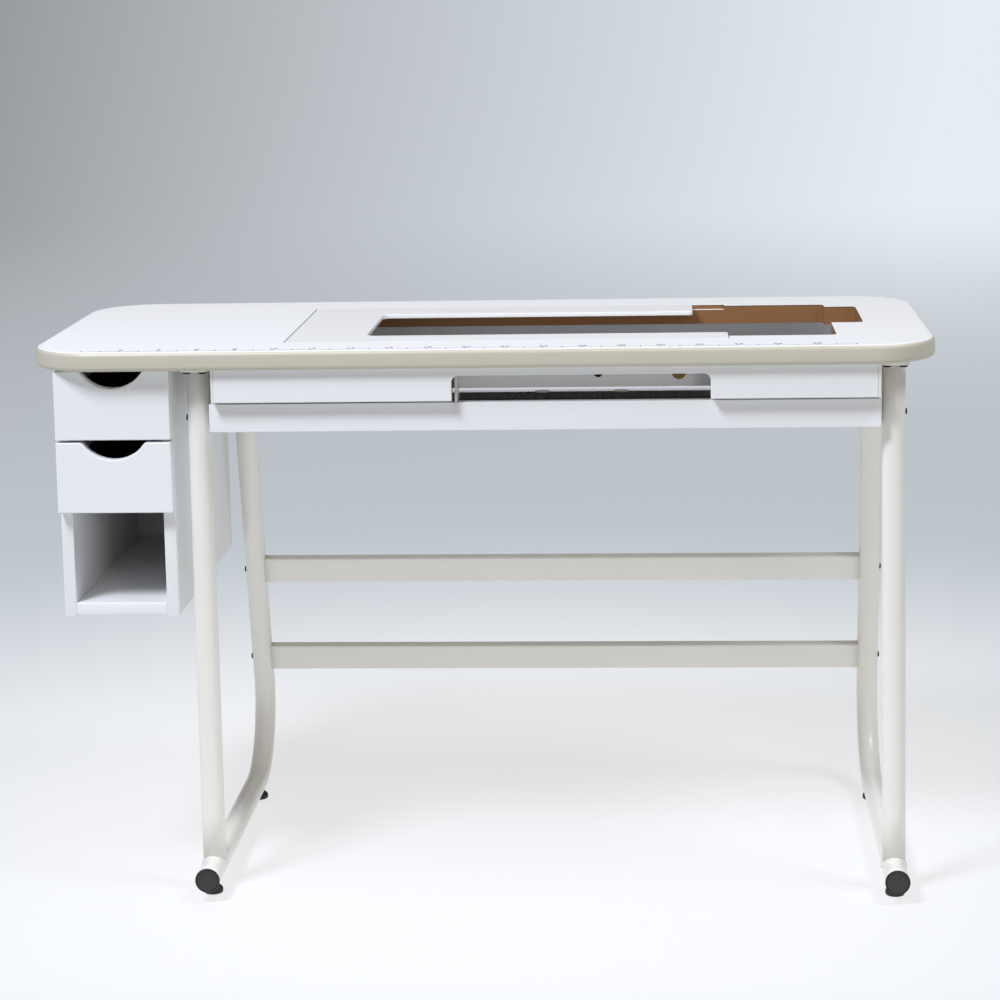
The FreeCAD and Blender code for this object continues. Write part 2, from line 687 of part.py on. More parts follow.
def drawer(sizes):
    """The five boards of one drawer."""
    front_zs = sizes["front_z"]
    box_zs = sizes["box_z"]
    front_ds = (UNIT_D[0] - DRAWER_FRONT_GAP - BOARD_T, UNIT_D[0] - DRAWER_FRONT_GAP)
    front = block(UNIT_X, front_ds, front_zs).cut(scoop(front_zs[1]))
    front_y = back(front_ds[0])
    front = eased(front, EASE, lambda p: near(p.y, front_y))
    left = unit_inside()[0] + DRAWER_SIDE_PLAY
    right = unit_inside()[1] - DRAWER_SIDE_PLAY
    box_ds = (front_ds[1], DRAWER_BACK_D)
    inner = (left + DRAWER_SIDE_T, right - DRAWER_SIDE_T)
    return {
        "front": front,
        "left_side": block((left, inner[0]), box_ds, box_zs),
        "right_side": block((inner[1], right), box_ds, box_zs),
        "back": block(inner, (DRAWER_BACK_D - DRAWER_SIDE_T, DRAWER_BACK_D), box_zs),
        "floor": block(inner, (box_ds[0], DRAWER_BACK_D - DRAWER_SIDE_T),
                       (box_zs[0], box_zs[0] + DRAWER_FLOOR_T)),
    }


# ---------------------------------------------------------------- build
def build():
    os.makedirs("parts", exist_ok=True)

    screws = wood_screws(plate_screw_points() + apron_bracket_screw_points() + unit_screw_points())
    dowels = [cam_dowel(x) for x in CAM_XS]
    save("wood_screws", *screws)

    save("tabletop", tabletop(screws + dowels))
    save("edge_moulding", edge_moulding())
    save("insert_plate", insert_plate())

    bolts = platform_bolts()
    cross_bolts = stretcher_bolts()
    for side, x in zip(("left", "right"), FRAME_X):
        save(side + "_bent_tube", cut_all(bent_tube(x), bolts + cross_bolts))
        save(side + "_front_leg", cut_all(front_leg(x), bolts))
        save(side + "_top_plate", cut_all(top_plate(x), screws))
        save(side + "_end_cap", end_cap(x))
        for place, depth in FOOT_DS.items():
            save(side + "_" + place + "_foot_pad", foot_pad(x, depth))
            save(side + "_" + place + "_foot_stud", foot_stud(x, depth))
    save("foot_weld_nuts", *[foot_nut(x, depth) for x in FRAME_X for depth in FOOT_DS.values()])

    for name, z in STRETCHER_ZS.items():
        save(name + "_stretcher", cut_all(stretcher(z), cross_bolts))
    save("stretcher_bolts", *cross_bolts)
    save("stretcher_nut_blocks", *stretcher_nuts(cross_bolts))

    save("front_apron", front_apron())
    save("rear_apron", rear_apron())
    save("knee_notch_guard", knee_guard())
    save("left_apron_bracket", cut_all(apron_bracket(-1, APRON_X[0]), screws))
    save("right_apron_bracket", cut_all(apron_bracket(1, APRON_X[1]), screws))
    save("well_front_board", well_board())
    save("cam_locks", *[cam(x) for x in CAM_XS], *dowels)
    save("cam_trims", *cam_trims())

    for name, rail in platform_rails(bolts).items():
        save(name, rail)
    save("platform_board", platform_board(bolts))
    save("platform_mats", *platform_mats())
    save("machine_rest_pads", *rest_pads())
    save("platform_cleats", *platform_cleats())
    save("platform_bolts", *bolts)
    save("platform_spacers", *platform_spacers(bolts))

    for name, panel in unit_panels().items():
        save(name, panel)
    save("unit_top_rails", *[cut_all(rail, screws) for rail in unit_top_rails()])
    save("drawer_runners", *drawer_runners())
    for name, sizes in DRAWERS.items():
        for piece, shape in drawer(sizes).items():
            save(name + "_drawer_" + piece, shape)


build()
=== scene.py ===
"""Looks of a sewing table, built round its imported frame, in metres, in the frame's own place.

The top is white laminate with a soft grey moulding, a machine opening and a lift-out insert. It stands on
two painted tube frames, with a machine platform under it and a narrow unit of two drawers at the left.
"""
import math

import bmesh
import bpy
import numpy as np
from mathutils import Matrix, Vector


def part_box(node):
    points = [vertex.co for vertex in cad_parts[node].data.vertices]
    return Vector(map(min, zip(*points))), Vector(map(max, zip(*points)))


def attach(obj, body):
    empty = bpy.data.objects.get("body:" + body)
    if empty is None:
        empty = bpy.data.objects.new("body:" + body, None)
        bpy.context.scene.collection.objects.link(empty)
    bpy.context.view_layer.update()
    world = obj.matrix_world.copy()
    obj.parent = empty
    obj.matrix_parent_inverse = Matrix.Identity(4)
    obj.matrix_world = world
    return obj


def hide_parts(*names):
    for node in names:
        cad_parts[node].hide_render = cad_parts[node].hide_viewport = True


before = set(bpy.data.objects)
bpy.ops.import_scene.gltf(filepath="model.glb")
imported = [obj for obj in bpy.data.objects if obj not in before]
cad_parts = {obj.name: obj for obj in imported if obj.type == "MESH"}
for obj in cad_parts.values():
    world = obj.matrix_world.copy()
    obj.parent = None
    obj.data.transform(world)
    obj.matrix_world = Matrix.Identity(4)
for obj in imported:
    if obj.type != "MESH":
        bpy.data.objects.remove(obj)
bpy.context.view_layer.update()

bl_info = {
    "name": "Sewing Table",
    "version": (1, 0, 0),
    "blender": (4, 5, 0),
    "location": "3D View > Sidebar > Sewing Table",
    "description": "Builds the visible pieces of a sewing table with a machine opening round its frame",
    "category": "Add Mesh",
}

MM = 0.001
SIDES = ("left", "right")
TURN = 2 * np.pi

# Finish, body and slot of the two commonest kinds of piece.
PAINTED = ("powder_coated_steel", "table", "white_frame_paint")
BOARDED = ("melamine_faced_board", "table", "white_melamine_board")

# ------------------------------------------------------------ sizes that the frame's boxes don't give
CORNER_R = 90 * MM            # plan radius of the top's corners
EDGE_W = 7 * MM               # width of the soft moulding
LAMINATE_SKIN = 0.3 * MM      # white face of the laminate
KRAFT_CORE = 1.0 * MM         # dark layer inside the laminate, seen where it is cut
LEAN = math.radians(13.4)     # lean of the rear legs towards the user
BEND_R = 110 * MM             # centreline radius of the tubes' bend
BED_LEFT = 104.5 * MM         # insert's left end to the bay for the machine's bed
BED_FRONT = 58 * MM           # insert's front to the bay
BED_REAR = 65 * MM            # insert's back to the bay
BACK_STRIP = 45 * MM          # how much sooner the strip behind the bay ends
KNEE_NOTCH_X = (-34.5 * MM, 303.5 * MM)
KNEE_NOTCH_DROP = 10.7 * MM   # apron's upper edge to the notch
SCOOP_DEPTH = 23.5 * MM
SCOOP_R = 50 * MM
SCOOP_SHOULDER_R = 7 * MM
REST_R = 10.7 * MM            # radius of the machine's round rests
MAT_DEPTH = 103 * MM          # each mat, front to back
SPARE_HOLE = (156 * MM, 706 * MM)
SPARE_HOLE_R = 6 * MM
RULER_SETBACK = 9 * MM        # front edge to the ticks
TICK_LENGTHS = (4.5 * MM, 6.5 * MM, 9.0 * MM)        # sixteenths, halves and whole inches
TICK_HALF_WIDTHS = (0.22 * MM, 0.3 * MM, 0.7 * MM)
RULER_INCHES = 40
FIGURE_SIZE = 13 * MM

# ------------------------------------------------------------ the stage
CAMERA_PLACE = (0.25125, -3.59124, 1.2413)
CAMERA_TURNS = (0.0658, 0.1281, -0.02)      # turn to the left, tilt down and roll, in radians
CAMERA_LENS = 93.35
CAMERA_SHIFT_Y = -0.20
SENSOR = 36.0
SKY_COLOUR = "#f0e9de"
SKY_STRENGTH = 0.26
LAMPS = (       # name, place, point faced, side in metres, watts, colour
    ("left_softbox", (-1.7, -2.2, 3.9), (-0.1, 0, 0.5), 1.1, 168, "#edf2ff"),
    ("right_softbox", (2.2, -0.9, 4.0), (0.2, 0, 0.5), 1.1, 70, "#eef3ff"),
    ("front_fill", (1.5, -3.1, 1.1), (-0.2, 0.1, 0.1), 0.8, 11, "#fff6ec"))
GLOW = (0.72, 0.49)                         # strength near the table and far from it
GLOW_SPAN = (0.45, 2.2)                     # distances between which it falls
GLOW_SIDES = (0.62, 1.95)                   # share at the far left and at the far right
GLOW_IN_FRONT = 0.5                         # share ahead of the table
FLOOR_RADII = (0.0, 1.0, 3.0, 8.0, 20.0, 60.0, 150.0)


def across(node, axis):
    """Lowest and highest value of a node along one axis, X, Y or Z as 0, 1 or 2."""
    low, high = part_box(node)
    return low[axis], high[axis]


# ------------------------------------------------------------ places read from the frame
TOP_X = across("edge_moulding", 0)
TOP_Y = across("edge_moulding", 1)
TOP_Z = across("edge_moulding", 2)
FRAME_X = [sum(across(side + "_front_leg", 0)) / 2 for side in SIDES]
TUBE_R = (across("left_front_leg", 0)[1] - across("left_front_leg", 0)[0]) / 2
TUBE_Z = across("left_bent_tube", 2)[0] + TUBE_R
LEG_Y = sum(across("left_front_leg", 1)) / 2
LEG_TOP_Z = across("left_front_leg", 2)[1]
TUBE_FRONT_Y, TUBE_BACK_Y = across("left_bent_tube", 1)
BEND_START_Y = TUBE_BACK_Y - BEND_R - TUBE_R


def linear(hex_colour):
    """Linear red, green, blue and alpha of an sRGB hex colour."""
    srgb = np.array([int(hex_colour[i:i + 2], 16) for i in (1, 3, 5)]) / 255
    rgb = np.where(srgb <= 0.04045, srgb / 12.92, ((srgb + 0.055) / 1.055) ** 2.4)
    return (*rgb.tolist(), 1.0)


def colour_property(name, description, hex_colour):
    return bpy.props.FloatVectorProperty(
        name=name, description=description, default=linear(hex_colour), size=4, subtype="COLOR",
        min=0, max=1)


def length_property(name, description, millimetres):
    return bpy.props.FloatProperty(
        name=name, description=description, default=millimetres * MM, min=0, unit="LENGTH")


class SewingTableColours(bpy.types.PropertyGroup):
    """Colours of the table's finishes."""
    laminate: colour_property("Laminate", "Face of the top and of the insert", "#f5f5f4")
    moulding: colour_property("Moulding", "Soft band round the top", "#c9c4b2")
    paint: colour_property("Frame paint", "Powder coat on the tubes and stretchers", "#efede6")
    melamine: colour_property("Melamine", "Boards of the aprons, the platform and the unit", "#eff0f1")
    # Dark boards of the drawer boxes, their darkness partly painted shade inside the closed drawers.
    drawer_lining: colour_property("Drawer lining", "Dark boards of the drawer boxes", "#23252c")
    fibreboard: colour_property("Fibreboard", "Raw cut walls of the openings", "#8a6038")
    plastic: colour_property("Black plastic", "Tube caps and levelling feet", "#1c1a19")
    floor_near: colour_property("Floor, near", "Floor under the table", "#f4f5f6")
    floor_far: colour_property("Floor, far", "Floor in the distance", "#e2eaf1")


class SewingTableSizes(bpy.types.PropertyGroup):
    """Small sizes that the frame doesn't fix."""
    board_ease: length_property("Board ease", "Rounding of board edges", 0.9)
    moulding_round: length_property("Moulding round", "Rounding of the top's soft edge", 7.0)
    weld_bead: length_property("Weld bead", "Half width of the painted weld beads", 2.2)
    thread_pitch: length_property("Thread pitch", "Pitch of the foot studs' thread", 1.25)
    mat_rib: length_property("Mat rib", "Distance between the ribs of the platform mats", 5.0)
    ruler_inch: length_property("Ruler inch", "Distance between the ruler's long ticks", 25.4)
    ruler_start: bpy.props.FloatProperty(
        name="Ruler start", description="Place of the ruler's zero, from the middle of the table",
        default=-0.5235, unit="LENGTH")


# ------------------------------------------------------------ materials
def node(tree, kind, settings=None, links=None):
    """Adds a shader node. Settings name its properties or inputs, links the output that feeds an input."""
    made = tree.nodes.new("ShaderNode" + kind)
    for key, value in (settings or {}).items():
        if isinstance(key, int) or key in made.inputs:
            made.inputs[key].default_value = value
        else:
            setattr(made, key, value)
    for key, source in (links or {}).items():
        tree.links.new(source, made.inputs[key])
    return made


def shade(colour, share):
    """A colour made darker by a share."""
    return (*[value * share for value in colour[:3]], 1.0)


def start_material(name, colour, settings):
    """A material with its shader, a colour for the viewport and its object coordinates."""
    made = bpy.data.materials.new(name)
    made.use_nodes = True
    made.diffuse_color = colour
    tree = made.node_tree
    shader = tree.nodes["Principled BSDF"]
    for key, value in settings.items():
        shader.inputs[key].default_value = value
    coordinates = node(tree, "TexCoord")
    return made, tree, shader, coordinates


def cover(made, share, colour):
    """Mixes a second colour over a material's colour by a share."""
    tree = made.node_tree
    base = tree.nodes["Principled BSDF"].inputs["Base Color"]
    both = node(tree, "Mix", {"data_type": "RGBA"},
                {"Factor": share, 6: base.links[0].from_socket, 7: colour})
    tree.links.new(both.outputs[2], base)


def roughen(tree, noise, rough, depth, strength=1.0, height=None):
    """Lets a noise move the roughness between two values, and the noise or a height raise the surface."""
    shader = tree.nodes["Principled BSDF"]
    gloss = node(tree, "MapRange", {"To Min": rough[0], "To Max": rough[1]}, {"Value": noise})
    tree.links.new(gloss.outputs["Result"], shader.inputs["Roughness"])
    bump = node(tree, "Bump", {"Distance": depth, "Strength": strength}, {"Height": height or noise})
    tree.links.new(bump.outputs["Normal"], shader.inputs["Normal"])


def grained(name, colour, settings, grain, depth, cloud=0.18, cloudiness=0.96, rough=(0.34, 0.42)):
    """A surface with a fine grain of a size and depth in metres, and a faint clouding of its colour.

    Two noises are read at the object's own coordinates: one with cells of the cloud's size mixes the colour
    with a slightly darker one, the other with cells of the grain's size moves the roughness and the bump.
    """
    made, tree, shader, coordinates = start_material(name, colour, settings)
    where = coordinates.outputs["Object"]
    clouds = node(tree, "TexNoise", {"Scale": 1 / cloud, "Detail": 3.0}, {"Vector": where})
    fine = node(tree, "TexNoise", {"Scale": 1 / grain, "Detail": 2.0}, {"Vector": where})
    tint = node(tree, "Mix", {"data_type": "RGBA", 6: colour, 7: shade(colour, cloudiness)},
                {"Factor": clouds.outputs["Fac"]})
    tree.links.new(tint.outputs[2], shader.inputs["Base Color"])
    roughen(tree, fine.outputs["Fac"], rough, depth)
    return made


def fibre_walls(made, fibreboard, skin):
    """Shows raw brown fibreboard wherever the surface stands upright, under a laminate skin of a thickness.

    The share of brown is one where the normal is level and the height is more than the skin's thickness
    under the upper face, and nought elsewhere. One noise, stretched flat, makes its pressed fibres, and the
    laminate's dark kraft core is a band just under the skin.
    """
    tree = made.node_tree
    shader = tree.nodes["Principled BSDF"]
    coordinates = tree.nodes["Texture Coordinate"]
    normal = node(tree, "SeparateXYZ", {}, {"Vector": coordinates.outputs["Normal"]})
    place = node(tree, "SeparateXYZ", {}, {"Vector": coordinates.outputs["Object"]})
    steep = node(tree, "Math", {"operation": "ABSOLUTE"}, {0: normal.outputs["Z"]})
    upright = node(tree, "Math", {"operation": "LESS_THAN", 1: 0.5}, {0: steep.outputs[0]})
    below = node(tree, "Math", {"operation": "LESS_THAN", 1: TOP_Z[1] - skin}, {0: place.outputs["Z"]})
    raw = node(tree, "Math", {"operation": "MULTIPLY"}, {0: upright.outputs[0], 1: below.outputs[0]})
    flattened = node(tree, "Mapping", {"Scale": (1.0, 1.0, 3.0)},
                     {"Vector": coordinates.outputs["Object"]})
    fibres = node(tree, "TexNoise", {"Scale": 900.0, "Detail": 4.0, "Roughness": 0.7},
                  {"Vector": flattened.outputs["Vector"]})
    brown = node(tree, "Mix", {"data_type": "RGBA", 6: shade(fibreboard, 0.7),
                               7: shade(fibreboard, 1.25)}, {"Factor": fibres.outputs["Fac"]})
    band = node(tree, "Math", {"operation": "GREATER_THAN", 1: TOP_Z[1] - skin - KRAFT_CORE},
                {0: place.outputs["Z"]})
    wall = node(tree, "Mix", {"data_type": "RGBA", 7: linear("#2b211b")},
                {"Factor": band.outputs[0], 6: brown.outputs[2]})
    cover(made, raw.outputs[0], wall.outputs[2])
    gloss = shader.inputs["Roughness"].links[0].from_socket
    dull = node(tree, "Mix", {3: 0.85}, {"Factor": raw.outputs[0], 2: gloss})
    tree.links.new(dull.outputs[0], shader.inputs["Roughness"])
    return made


def nearest_bore(tree, place, centres):
    """Distance to the nearest of some level axes that run front to back, each given by its x and z."""
    nearest = None
    for x, z in centres:
        flat = node(tree, "CombineXYZ", {}, {"X": place.outputs["X"], "Z": place.outputs["Z"]})
        gap = node(tree, "VectorMath", {"operation": "DISTANCE", 1: (x, 0, z)},
                   {0: flat.outputs[0]}).outputs["Value"]
        if nearest is None:
            nearest = gap
        else:
            nearest = node(tree, "Math", {"operation": "MINIMUM"}, {0: nearest, 1: gap}).outputs[0]
    return nearest


def drilled_hole(made, centre, radius, face_y):
    """Turns a board's colour inside a blind hole, behind its face and within its radius, to raw chips
    darkened as painted shade of the bore.
    """
    tree = made.node_tree
    where = tree.nodes["Texture Coordinate"].outputs["Object"]
    place = node(tree, "SeparateXYZ", {}, {"Vector": where})
    within = node(tree, "Math", {"operation": "LESS_THAN", 1: radius + 0.3 * MM},
                  {0: nearest_bore(tree, place, [centre])})
    behind = node(tree, "Math", {"operation": "GREATER_THAN", 1: face_y + 0.2 * MM},
                  {0: place.outputs["Y"]})
    hole = node(tree, "Math", {"operation": "MULTIPLY"}, {0: within.outputs[0], 1: behind.outputs[0]})
    chips_and_shade = node(tree, "TexNoise", {"Scale": 700.0, "Detail": 4.0}, {"Vector": where})
    # Raw chipboard browns, made dark as painted shade inside the bore.
    brown = node(tree, "Mix", {"data_type": "RGBA", 6: linear("#2a1d14"), 7: linear("#4d3826")},
                 {"Factor": chips_and_shade.outputs["Fac"]})
    cover(made, hole.outputs[0], brown.outputs[2])


def domed_face_plastic(name, colour, centres, radius, face_y):
    """Black plastic whose round front faces are painted paler inside a darker rim: painted light on the lit
    faces.

    The share of the paler colour is one within nine tenths of the radius from the nearer centre, measured
    level and upright, in front of a depth, and a noise mottles it.
    """
    made, tree, shader, coordinates = start_material(name, colour, {"IOR": 1.46})
    where = coordinates.outputs["Object"]
    place = node(tree, "SeparateXYZ", {}, {"Vector": where})
    nearest = nearest_bore(tree, place, centres)
    inside = node(tree, "MapRange", {"From Min": radius * 0.92, "From Max": radius * 0.86},
                  {"Value": nearest})
    front = node(tree, "Math", {"operation": "LESS_THAN", 1: face_y}, {0: place.outputs["Y"]})
    lit_face = node(tree, "Math", {"operation": "MULTIPLY"},
                  {0: inside.outputs["Result"], 1: front.outputs[0]})
    mottle = node(tree, "TexNoise", {"Scale": 260.0, "Detail": 5.0, "Roughness": 0.65}, {"Vector": where})
    # Painted light: the paler tone of the caps' front faces.
    pale = node(tree, "Mix", {"data_type": "RGBA", 6: linear("#2c2926"), 7: linear("#3b3733")},
                {"Factor": mottle.outputs["Fac"]})
    tint = node(tree, "Mix", {"data_type": "RGBA", 6: colour},
                {"Factor": lit_face.outputs[0], 7: pale.outputs[2]})
    tree.links.new(tint.outputs[2], shader.inputs["Base Color"])
    roughen(tree, mottle.outputs["Fac"], (0.38, 0.55), 0.03 * MM, 0.8)
    return made


def paler_on_top(made, lit_colour):
    """Fades a material to a second, paler colour where its surface turns upward: painted light from the
    lamps above.
    """
    tree = made.node_tree
    facing = node(tree, "SeparateXYZ", {}, {"Vector": tree.nodes["Texture Coordinate"].outputs["Normal"]})
    share = node(tree, "MapRange", {"interpolation_type": "SMOOTHSTEP", "From Min": 0.75,
                                    "From Max": 0.97}, {"Value": facing.outputs["Z"]})
    paint = node(tree, "RGB")
    paint.outputs[0].default_value = lit_colour
    cover(made, share.outputs["Result"], paint.outputs[0])


def brushed_metal(name, hex_colour, roughness, pitch):
    """A bare or plated metal with fine turning marks: a wave along the piece's length, at a pitch."""
    colour = linear(hex_colour)
    made, tree, shader, coordinates = start_material(name, colour, {"Metallic": 1.0})
    where = coordinates.outputs["Object"]
    marks = node(tree, "TexWave", {"Scale": 1 / pitch / 20, "Distortion": 2.0, "Detail": 2.0},
                 {"Vector": where})
    stain = node(tree, "TexNoise", {"Scale": 300.0, "Detail": 3.0}, {"Vector": where})
    tint = node(tree, "Mix", {"data_type": "RGBA", 6: colour, 7: shade(colour, 0.75)},
                {"Factor": stain.outputs["Fac"]})
    tree.links.new(tint.outputs[2], shader.inputs["Base Color"])
    roughen(tree, stain.outputs["Fac"], (roughness * 0.8, roughness * 1.2), 0.02 * MM, 0.5,
            marks.outputs["Fac"])
    return made


def make_finishes():
    """Every finish of the table, made once and then found by its name."""
    colours = bpy.context.scene.sewing_table_colours
    laminate = tuple(colours.laminate)
    board = tuple(colours.melamine)
    fibreboard = tuple(colours.fibreboard)
    # High pressure laminate, pressed against a pebbled plate: matt white with a very fine tooth. The tooth
    # is about 0.4 mm and is drawn at 1.5 mm so that it shows.
    fibre_walls(grained("pressed_laminate", laminate, {"IOR": 1.5}, 1.5 * MM, 0.015 * MM,
                        cloudiness=0.985), fibreboard, LAMINATE_SKIN)
    # The insert is a laminate sheet of its own, a touch smoother and glossier than the top.
    grained("smooth_laminate_sheet", laminate, {"IOR": 1.5}, 2.5 * MM, 0.008 * MM, cloudiness=0.985,
            rough=(0.26, 0.32))
    # Soft PVC, extruded: satin warm grey with faint waves along it. Its upward faces are painted the
    # laminate's white, as painted light from above.
    paler_on_top(grained("extruded_soft_pvc", tuple(colours.moulding), {"IOR": 1.53}, 4 * MM, 0.02 * MM,
                         cloud=0.25, cloudiness=0.95, rough=(0.36, 0.46)), laminate)
    # Powder-coated steel tube: off-white, half gloss, with an orange peel of 2 to 3 mm.
    grained("powder_coated_steel", tuple(colours.paint), {"IOR": 1.52, "Coat Weight": 0.25,
            "Coat Roughness": 0.22}, 2.6 * MM, 0.035 * MM, cloudiness=0.965, rough=(0.30, 0.40))
    # Melamine-faced chipboard: cool white, even and half matt, with a pearl print of about 1.5 mm.
    grained("melamine_faced_board", board, {"IOR": 1.5}, 1.8 * MM, 0.012 * MM, cloudiness=0.98,
            rough=(0.32, 0.40))
    # The hanging board is the same, with one blind hole left open, its inside darkened as painted shade.
    drilled = grained("drilled_melamine_board", board, {"IOR": 1.5}, 1.8 * MM, 0.012 * MM, cloudiness=0.98,
                      rough=(0.32, 0.40))
    drilled_hole(drilled, SPARE_HOLE, SPARE_HOLE_R, across("well_front_board", 1)[0])
    # Drawer boxes: blue black with a fine leather-like tooth. The dark colour is partly the boxes' own and
    # partly painted shade inside the closed drawers, seen through the scoops.
    grained("dark_drawer_board_and_shade", tuple(colours.drawer_lining), {"IOR": 1.5}, 2.2 * MM, 0.03 * MM,
            cloudiness=0.8, rough=(0.42, 0.6))
    # Cut fibreboard: brown, dry and fibrous, with cells of 1 mm.
    grained("cut_fibreboard", fibreboard, {"IOR": 1.4}, 1.0 * MM, 0.12 * MM, cloud=3 * MM, cloudiness=0.6,
            rough=(0.8, 0.92))
    # Black rubber sheet with moulded ribs: dull, with a dusty bloom. Its colour is darker than bare black
    # rubber, as painted shade from the machine that stands over the mats.
    grained("ribbed_black_rubber_and_shade", linear("#0e0e10"), {"IOR": 1.52}, 1.4 * MM, 0.05 * MM, cloud=0.05,
            cloudiness=1.5, rough=(0.62, 0.78))
    # Pale rubber rests: matt light grey.
    grained("pale_rubber", linear("#cfcfca"), {"IOR": 1.52}, 1.2 * MM, 0.03 * MM, cloud=8 * MM,
            cloudiness=0.9, rough=(0.6, 0.7))
    # White polypropylene trims: waxy and slightly glossy.
    grained("white_polypropylene", linear("#f2f1ee"), {"IOR": 1.49, "Subsurface Weight": 0.05}, 2 * MM,
            0.01 * MM, rough=(0.3, 0.38))
    # Printing ink on laminate: flat blue grey, thinner in places.
    grained("ruler_ink", linear("#6d7382"), {"IOR": 1.5}, 0.8 * MM, 0.002 * MM, cloud=2 * MM,
            cloudiness=1.25, rough=(0.5, 0.6))
    # Black oxide on steel: dark, slightly oily.
    brushed_metal("black_oxide_steel", "#34322f", 0.42, 0.4 * MM)
    # Zinc-plated steel thread: cool grey, bright.
    brushed_metal("zinc_plated_steel", "#b9bbbd", 0.32, 0.4 * MM)
    # Cast brass cam: its yellow darkened to a brown, partly its own colour and partly painted shade of the
    # dim notch it sits in.
    brushed_metal("turned_brass_in_shade", "#94764a", 0.42, 0.3 * MM)
    centres = [(x, TUBE_Z) for x in FRAME_X]
    # Moulded nylon: black and satin; the caps' front faces are painted a warm dark grey, as painted light
    # where the lamps fall on them.
    domed_face_plastic("moulded_black_nylon", tuple(colours.plastic), centres, TUBE_R,
                       TUBE_FRONT_Y - 1.5 * MM)


def finish(name):
    return bpy.data.materials[name]


# ------------------------------------------------------------ shapes
def circle(steps):
    """Angles of evenly spaced points once round."""
    return np.linspace(0, TURN, steps, endpoint=False)


def surface(x, y, z):
    """Points of a surface from its three coordinates, each a number, a row, a column or a grid."""
    return np.stack(np.broadcast_arrays(x, y, z), axis=-1)


def link_object(name, data):
    """A new object in the scene."""
    made = bpy.data.objects.new(name, data)
    bpy.context.scene.collection.objects.link(made)
    return made


def rounded_outline(corners, radii, steps=8):
    """A closed outline with a round at each corner, and the way out of it at each point.

    At each corner a circle touches both sides, its centre on the line that halves the angle at the radius
    over the sine of the half angle. Its points turn evenly from the one side's foot to the other's.
    """
    corners = np.array(corners, float)
    radii = np.array(radii, float)[:, None]
    to_last = np.roll(corners, 1, 0) - corners
    to_next = np.roll(corners, -1, 0) - corners
    to_last /= np.linalg.norm(to_last, axis=1, keepdims=True)
    to_next /= np.linalg.norm(to_next, axis=1, keepdims=True)
    middle = to_last + to_next
    middle /= np.linalg.norm(middle, axis=1, keepdims=True)
    cosine = np.sum(to_last * middle, axis=1, keepdims=True)
    sine = np.sqrt(1 - cosine ** 2)
    centres = corners + middle * radii / sine
    foot = to_last * radii * cosine / sine
    first = np.arctan2(*(corners + foot - centres).T[::-1])
    foot = to_next * radii * cosine / sine
    last = np.arctan2(*(corners + foot - centres).T[::-1])
    sweep = (last - first + np.pi) % TURN - np.pi
    angles = first[:, None] + sweep[:, None] * np.linspace(0, 1, steps)
    rays = np.stack([np.cos(angles), np.sin(angles)], axis=2)
    points = centres[:, None] + rays * radii[:, None]
    x, y = corners.T
    turning = np.sign(np.sum(x * np.roll(y, -1) - np.roll(x, -1) * y))
    bulge = np.where(sweep * turning > 0, 1.0, -1.0)[:, None, None]
    return points.reshape(-1, 2), (rays * bulge).reshape(-1, 2)


def ring_faces(rings, around, along_closed=False):
    """Four-sided faces between neighbouring rings of a number of points each, closed around."""
    row = np.arange(rings if along_closed else rings - 1)[:, None]
    column = np.arange(around)[None, :]
    following = (column + 1) % around
    upper = (row + 1) % rings
    faces = np.stack([row * around + column, row * around + following,
                      upper * around + following, upper * around + column], axis=2)
    return faces.reshape(-1, 4)


def capped(points, rows, around):
    """A shell of closed rings in rows, with its faces and its two flat ends."""
    ends = [np.arange(around)[::-1], (rows - 1) * around + np.arange(around)]
    return points, ring_faces(rows, around), ends


def add_piece(name, shells, material, body, slot, nodes=(), flat_ends=True):
    """Puts shells into one mesh object at the origin, outward-facing, riding on a body.

    A shell is its points, its four-sided faces and its end faces. Where a shell's volume comes out below
    nought, its faces are turned round.
    """
    points = []
    faces = []
    flat = []
    start = 0
    for shell_points, quads, ends in shells:
        trial = bpy.data.meshes.new("trial")
        trial.from_pydata(shell_points.tolist(), [], quads.tolist() + [end.tolist() for end in ends])
        form = bmesh.new()
        form.from_mesh(trial)
        step = -1 if form.calc_volume(signed=True) < 0 else 1
        form.free()
        bpy.data.meshes.remove(trial)
        points.append(shell_points)
        faces += (quads[:, ::step] + start).tolist() + [(end[::step] + start).tolist() for end in ends]
        flat += [False] * len(quads) + [flat_ends] * len(ends)
        start += len(shell_points)
    mesh = bpy.data.meshes.new(name)
    mesh.from_pydata(np.concatenate(points).tolist(), [], faces)
    mesh.polygons.foreach_set("use_smooth", ~np.array(flat))
    mesh.materials.append(finish(material))
    mesh.update()
    piece = link_object(name, mesh)
    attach(piece, body)
    if nodes:
        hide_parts(*nodes)
    return piece


def plate(outline, normals, low, high, ease, plane="xy"):
    """A flat board on an outline, its upper and lower edges rounded by the ease.

    Rings of the outline rise from low to high. Near each end a ring is drawn in by the ease times one minus
    the sine of an angle, and stands the ease times one minus its cosine from that end.
    """
    angles = np.linspace(0, np.pi / 2, 4)
    inset = ease * (1 - np.sin(angles))
    lift = ease * (1 - np.cos(angles))
    insets = np.concatenate([inset, inset[::-1]])
    heights = np.concatenate([low + lift, high - lift[::-1]])
    flat = outline - normals * insets[:, None, None]
    points = surface(flat[..., 0], flat[..., 1], heights[:, None]).reshape(-1, 3)
    order = {"xy": [0, 1, 2], "xz": [0, 2, 1], "yz": [2, 0, 1]}[plane]
    return capped(points[:, order], len(heights), len(outline))


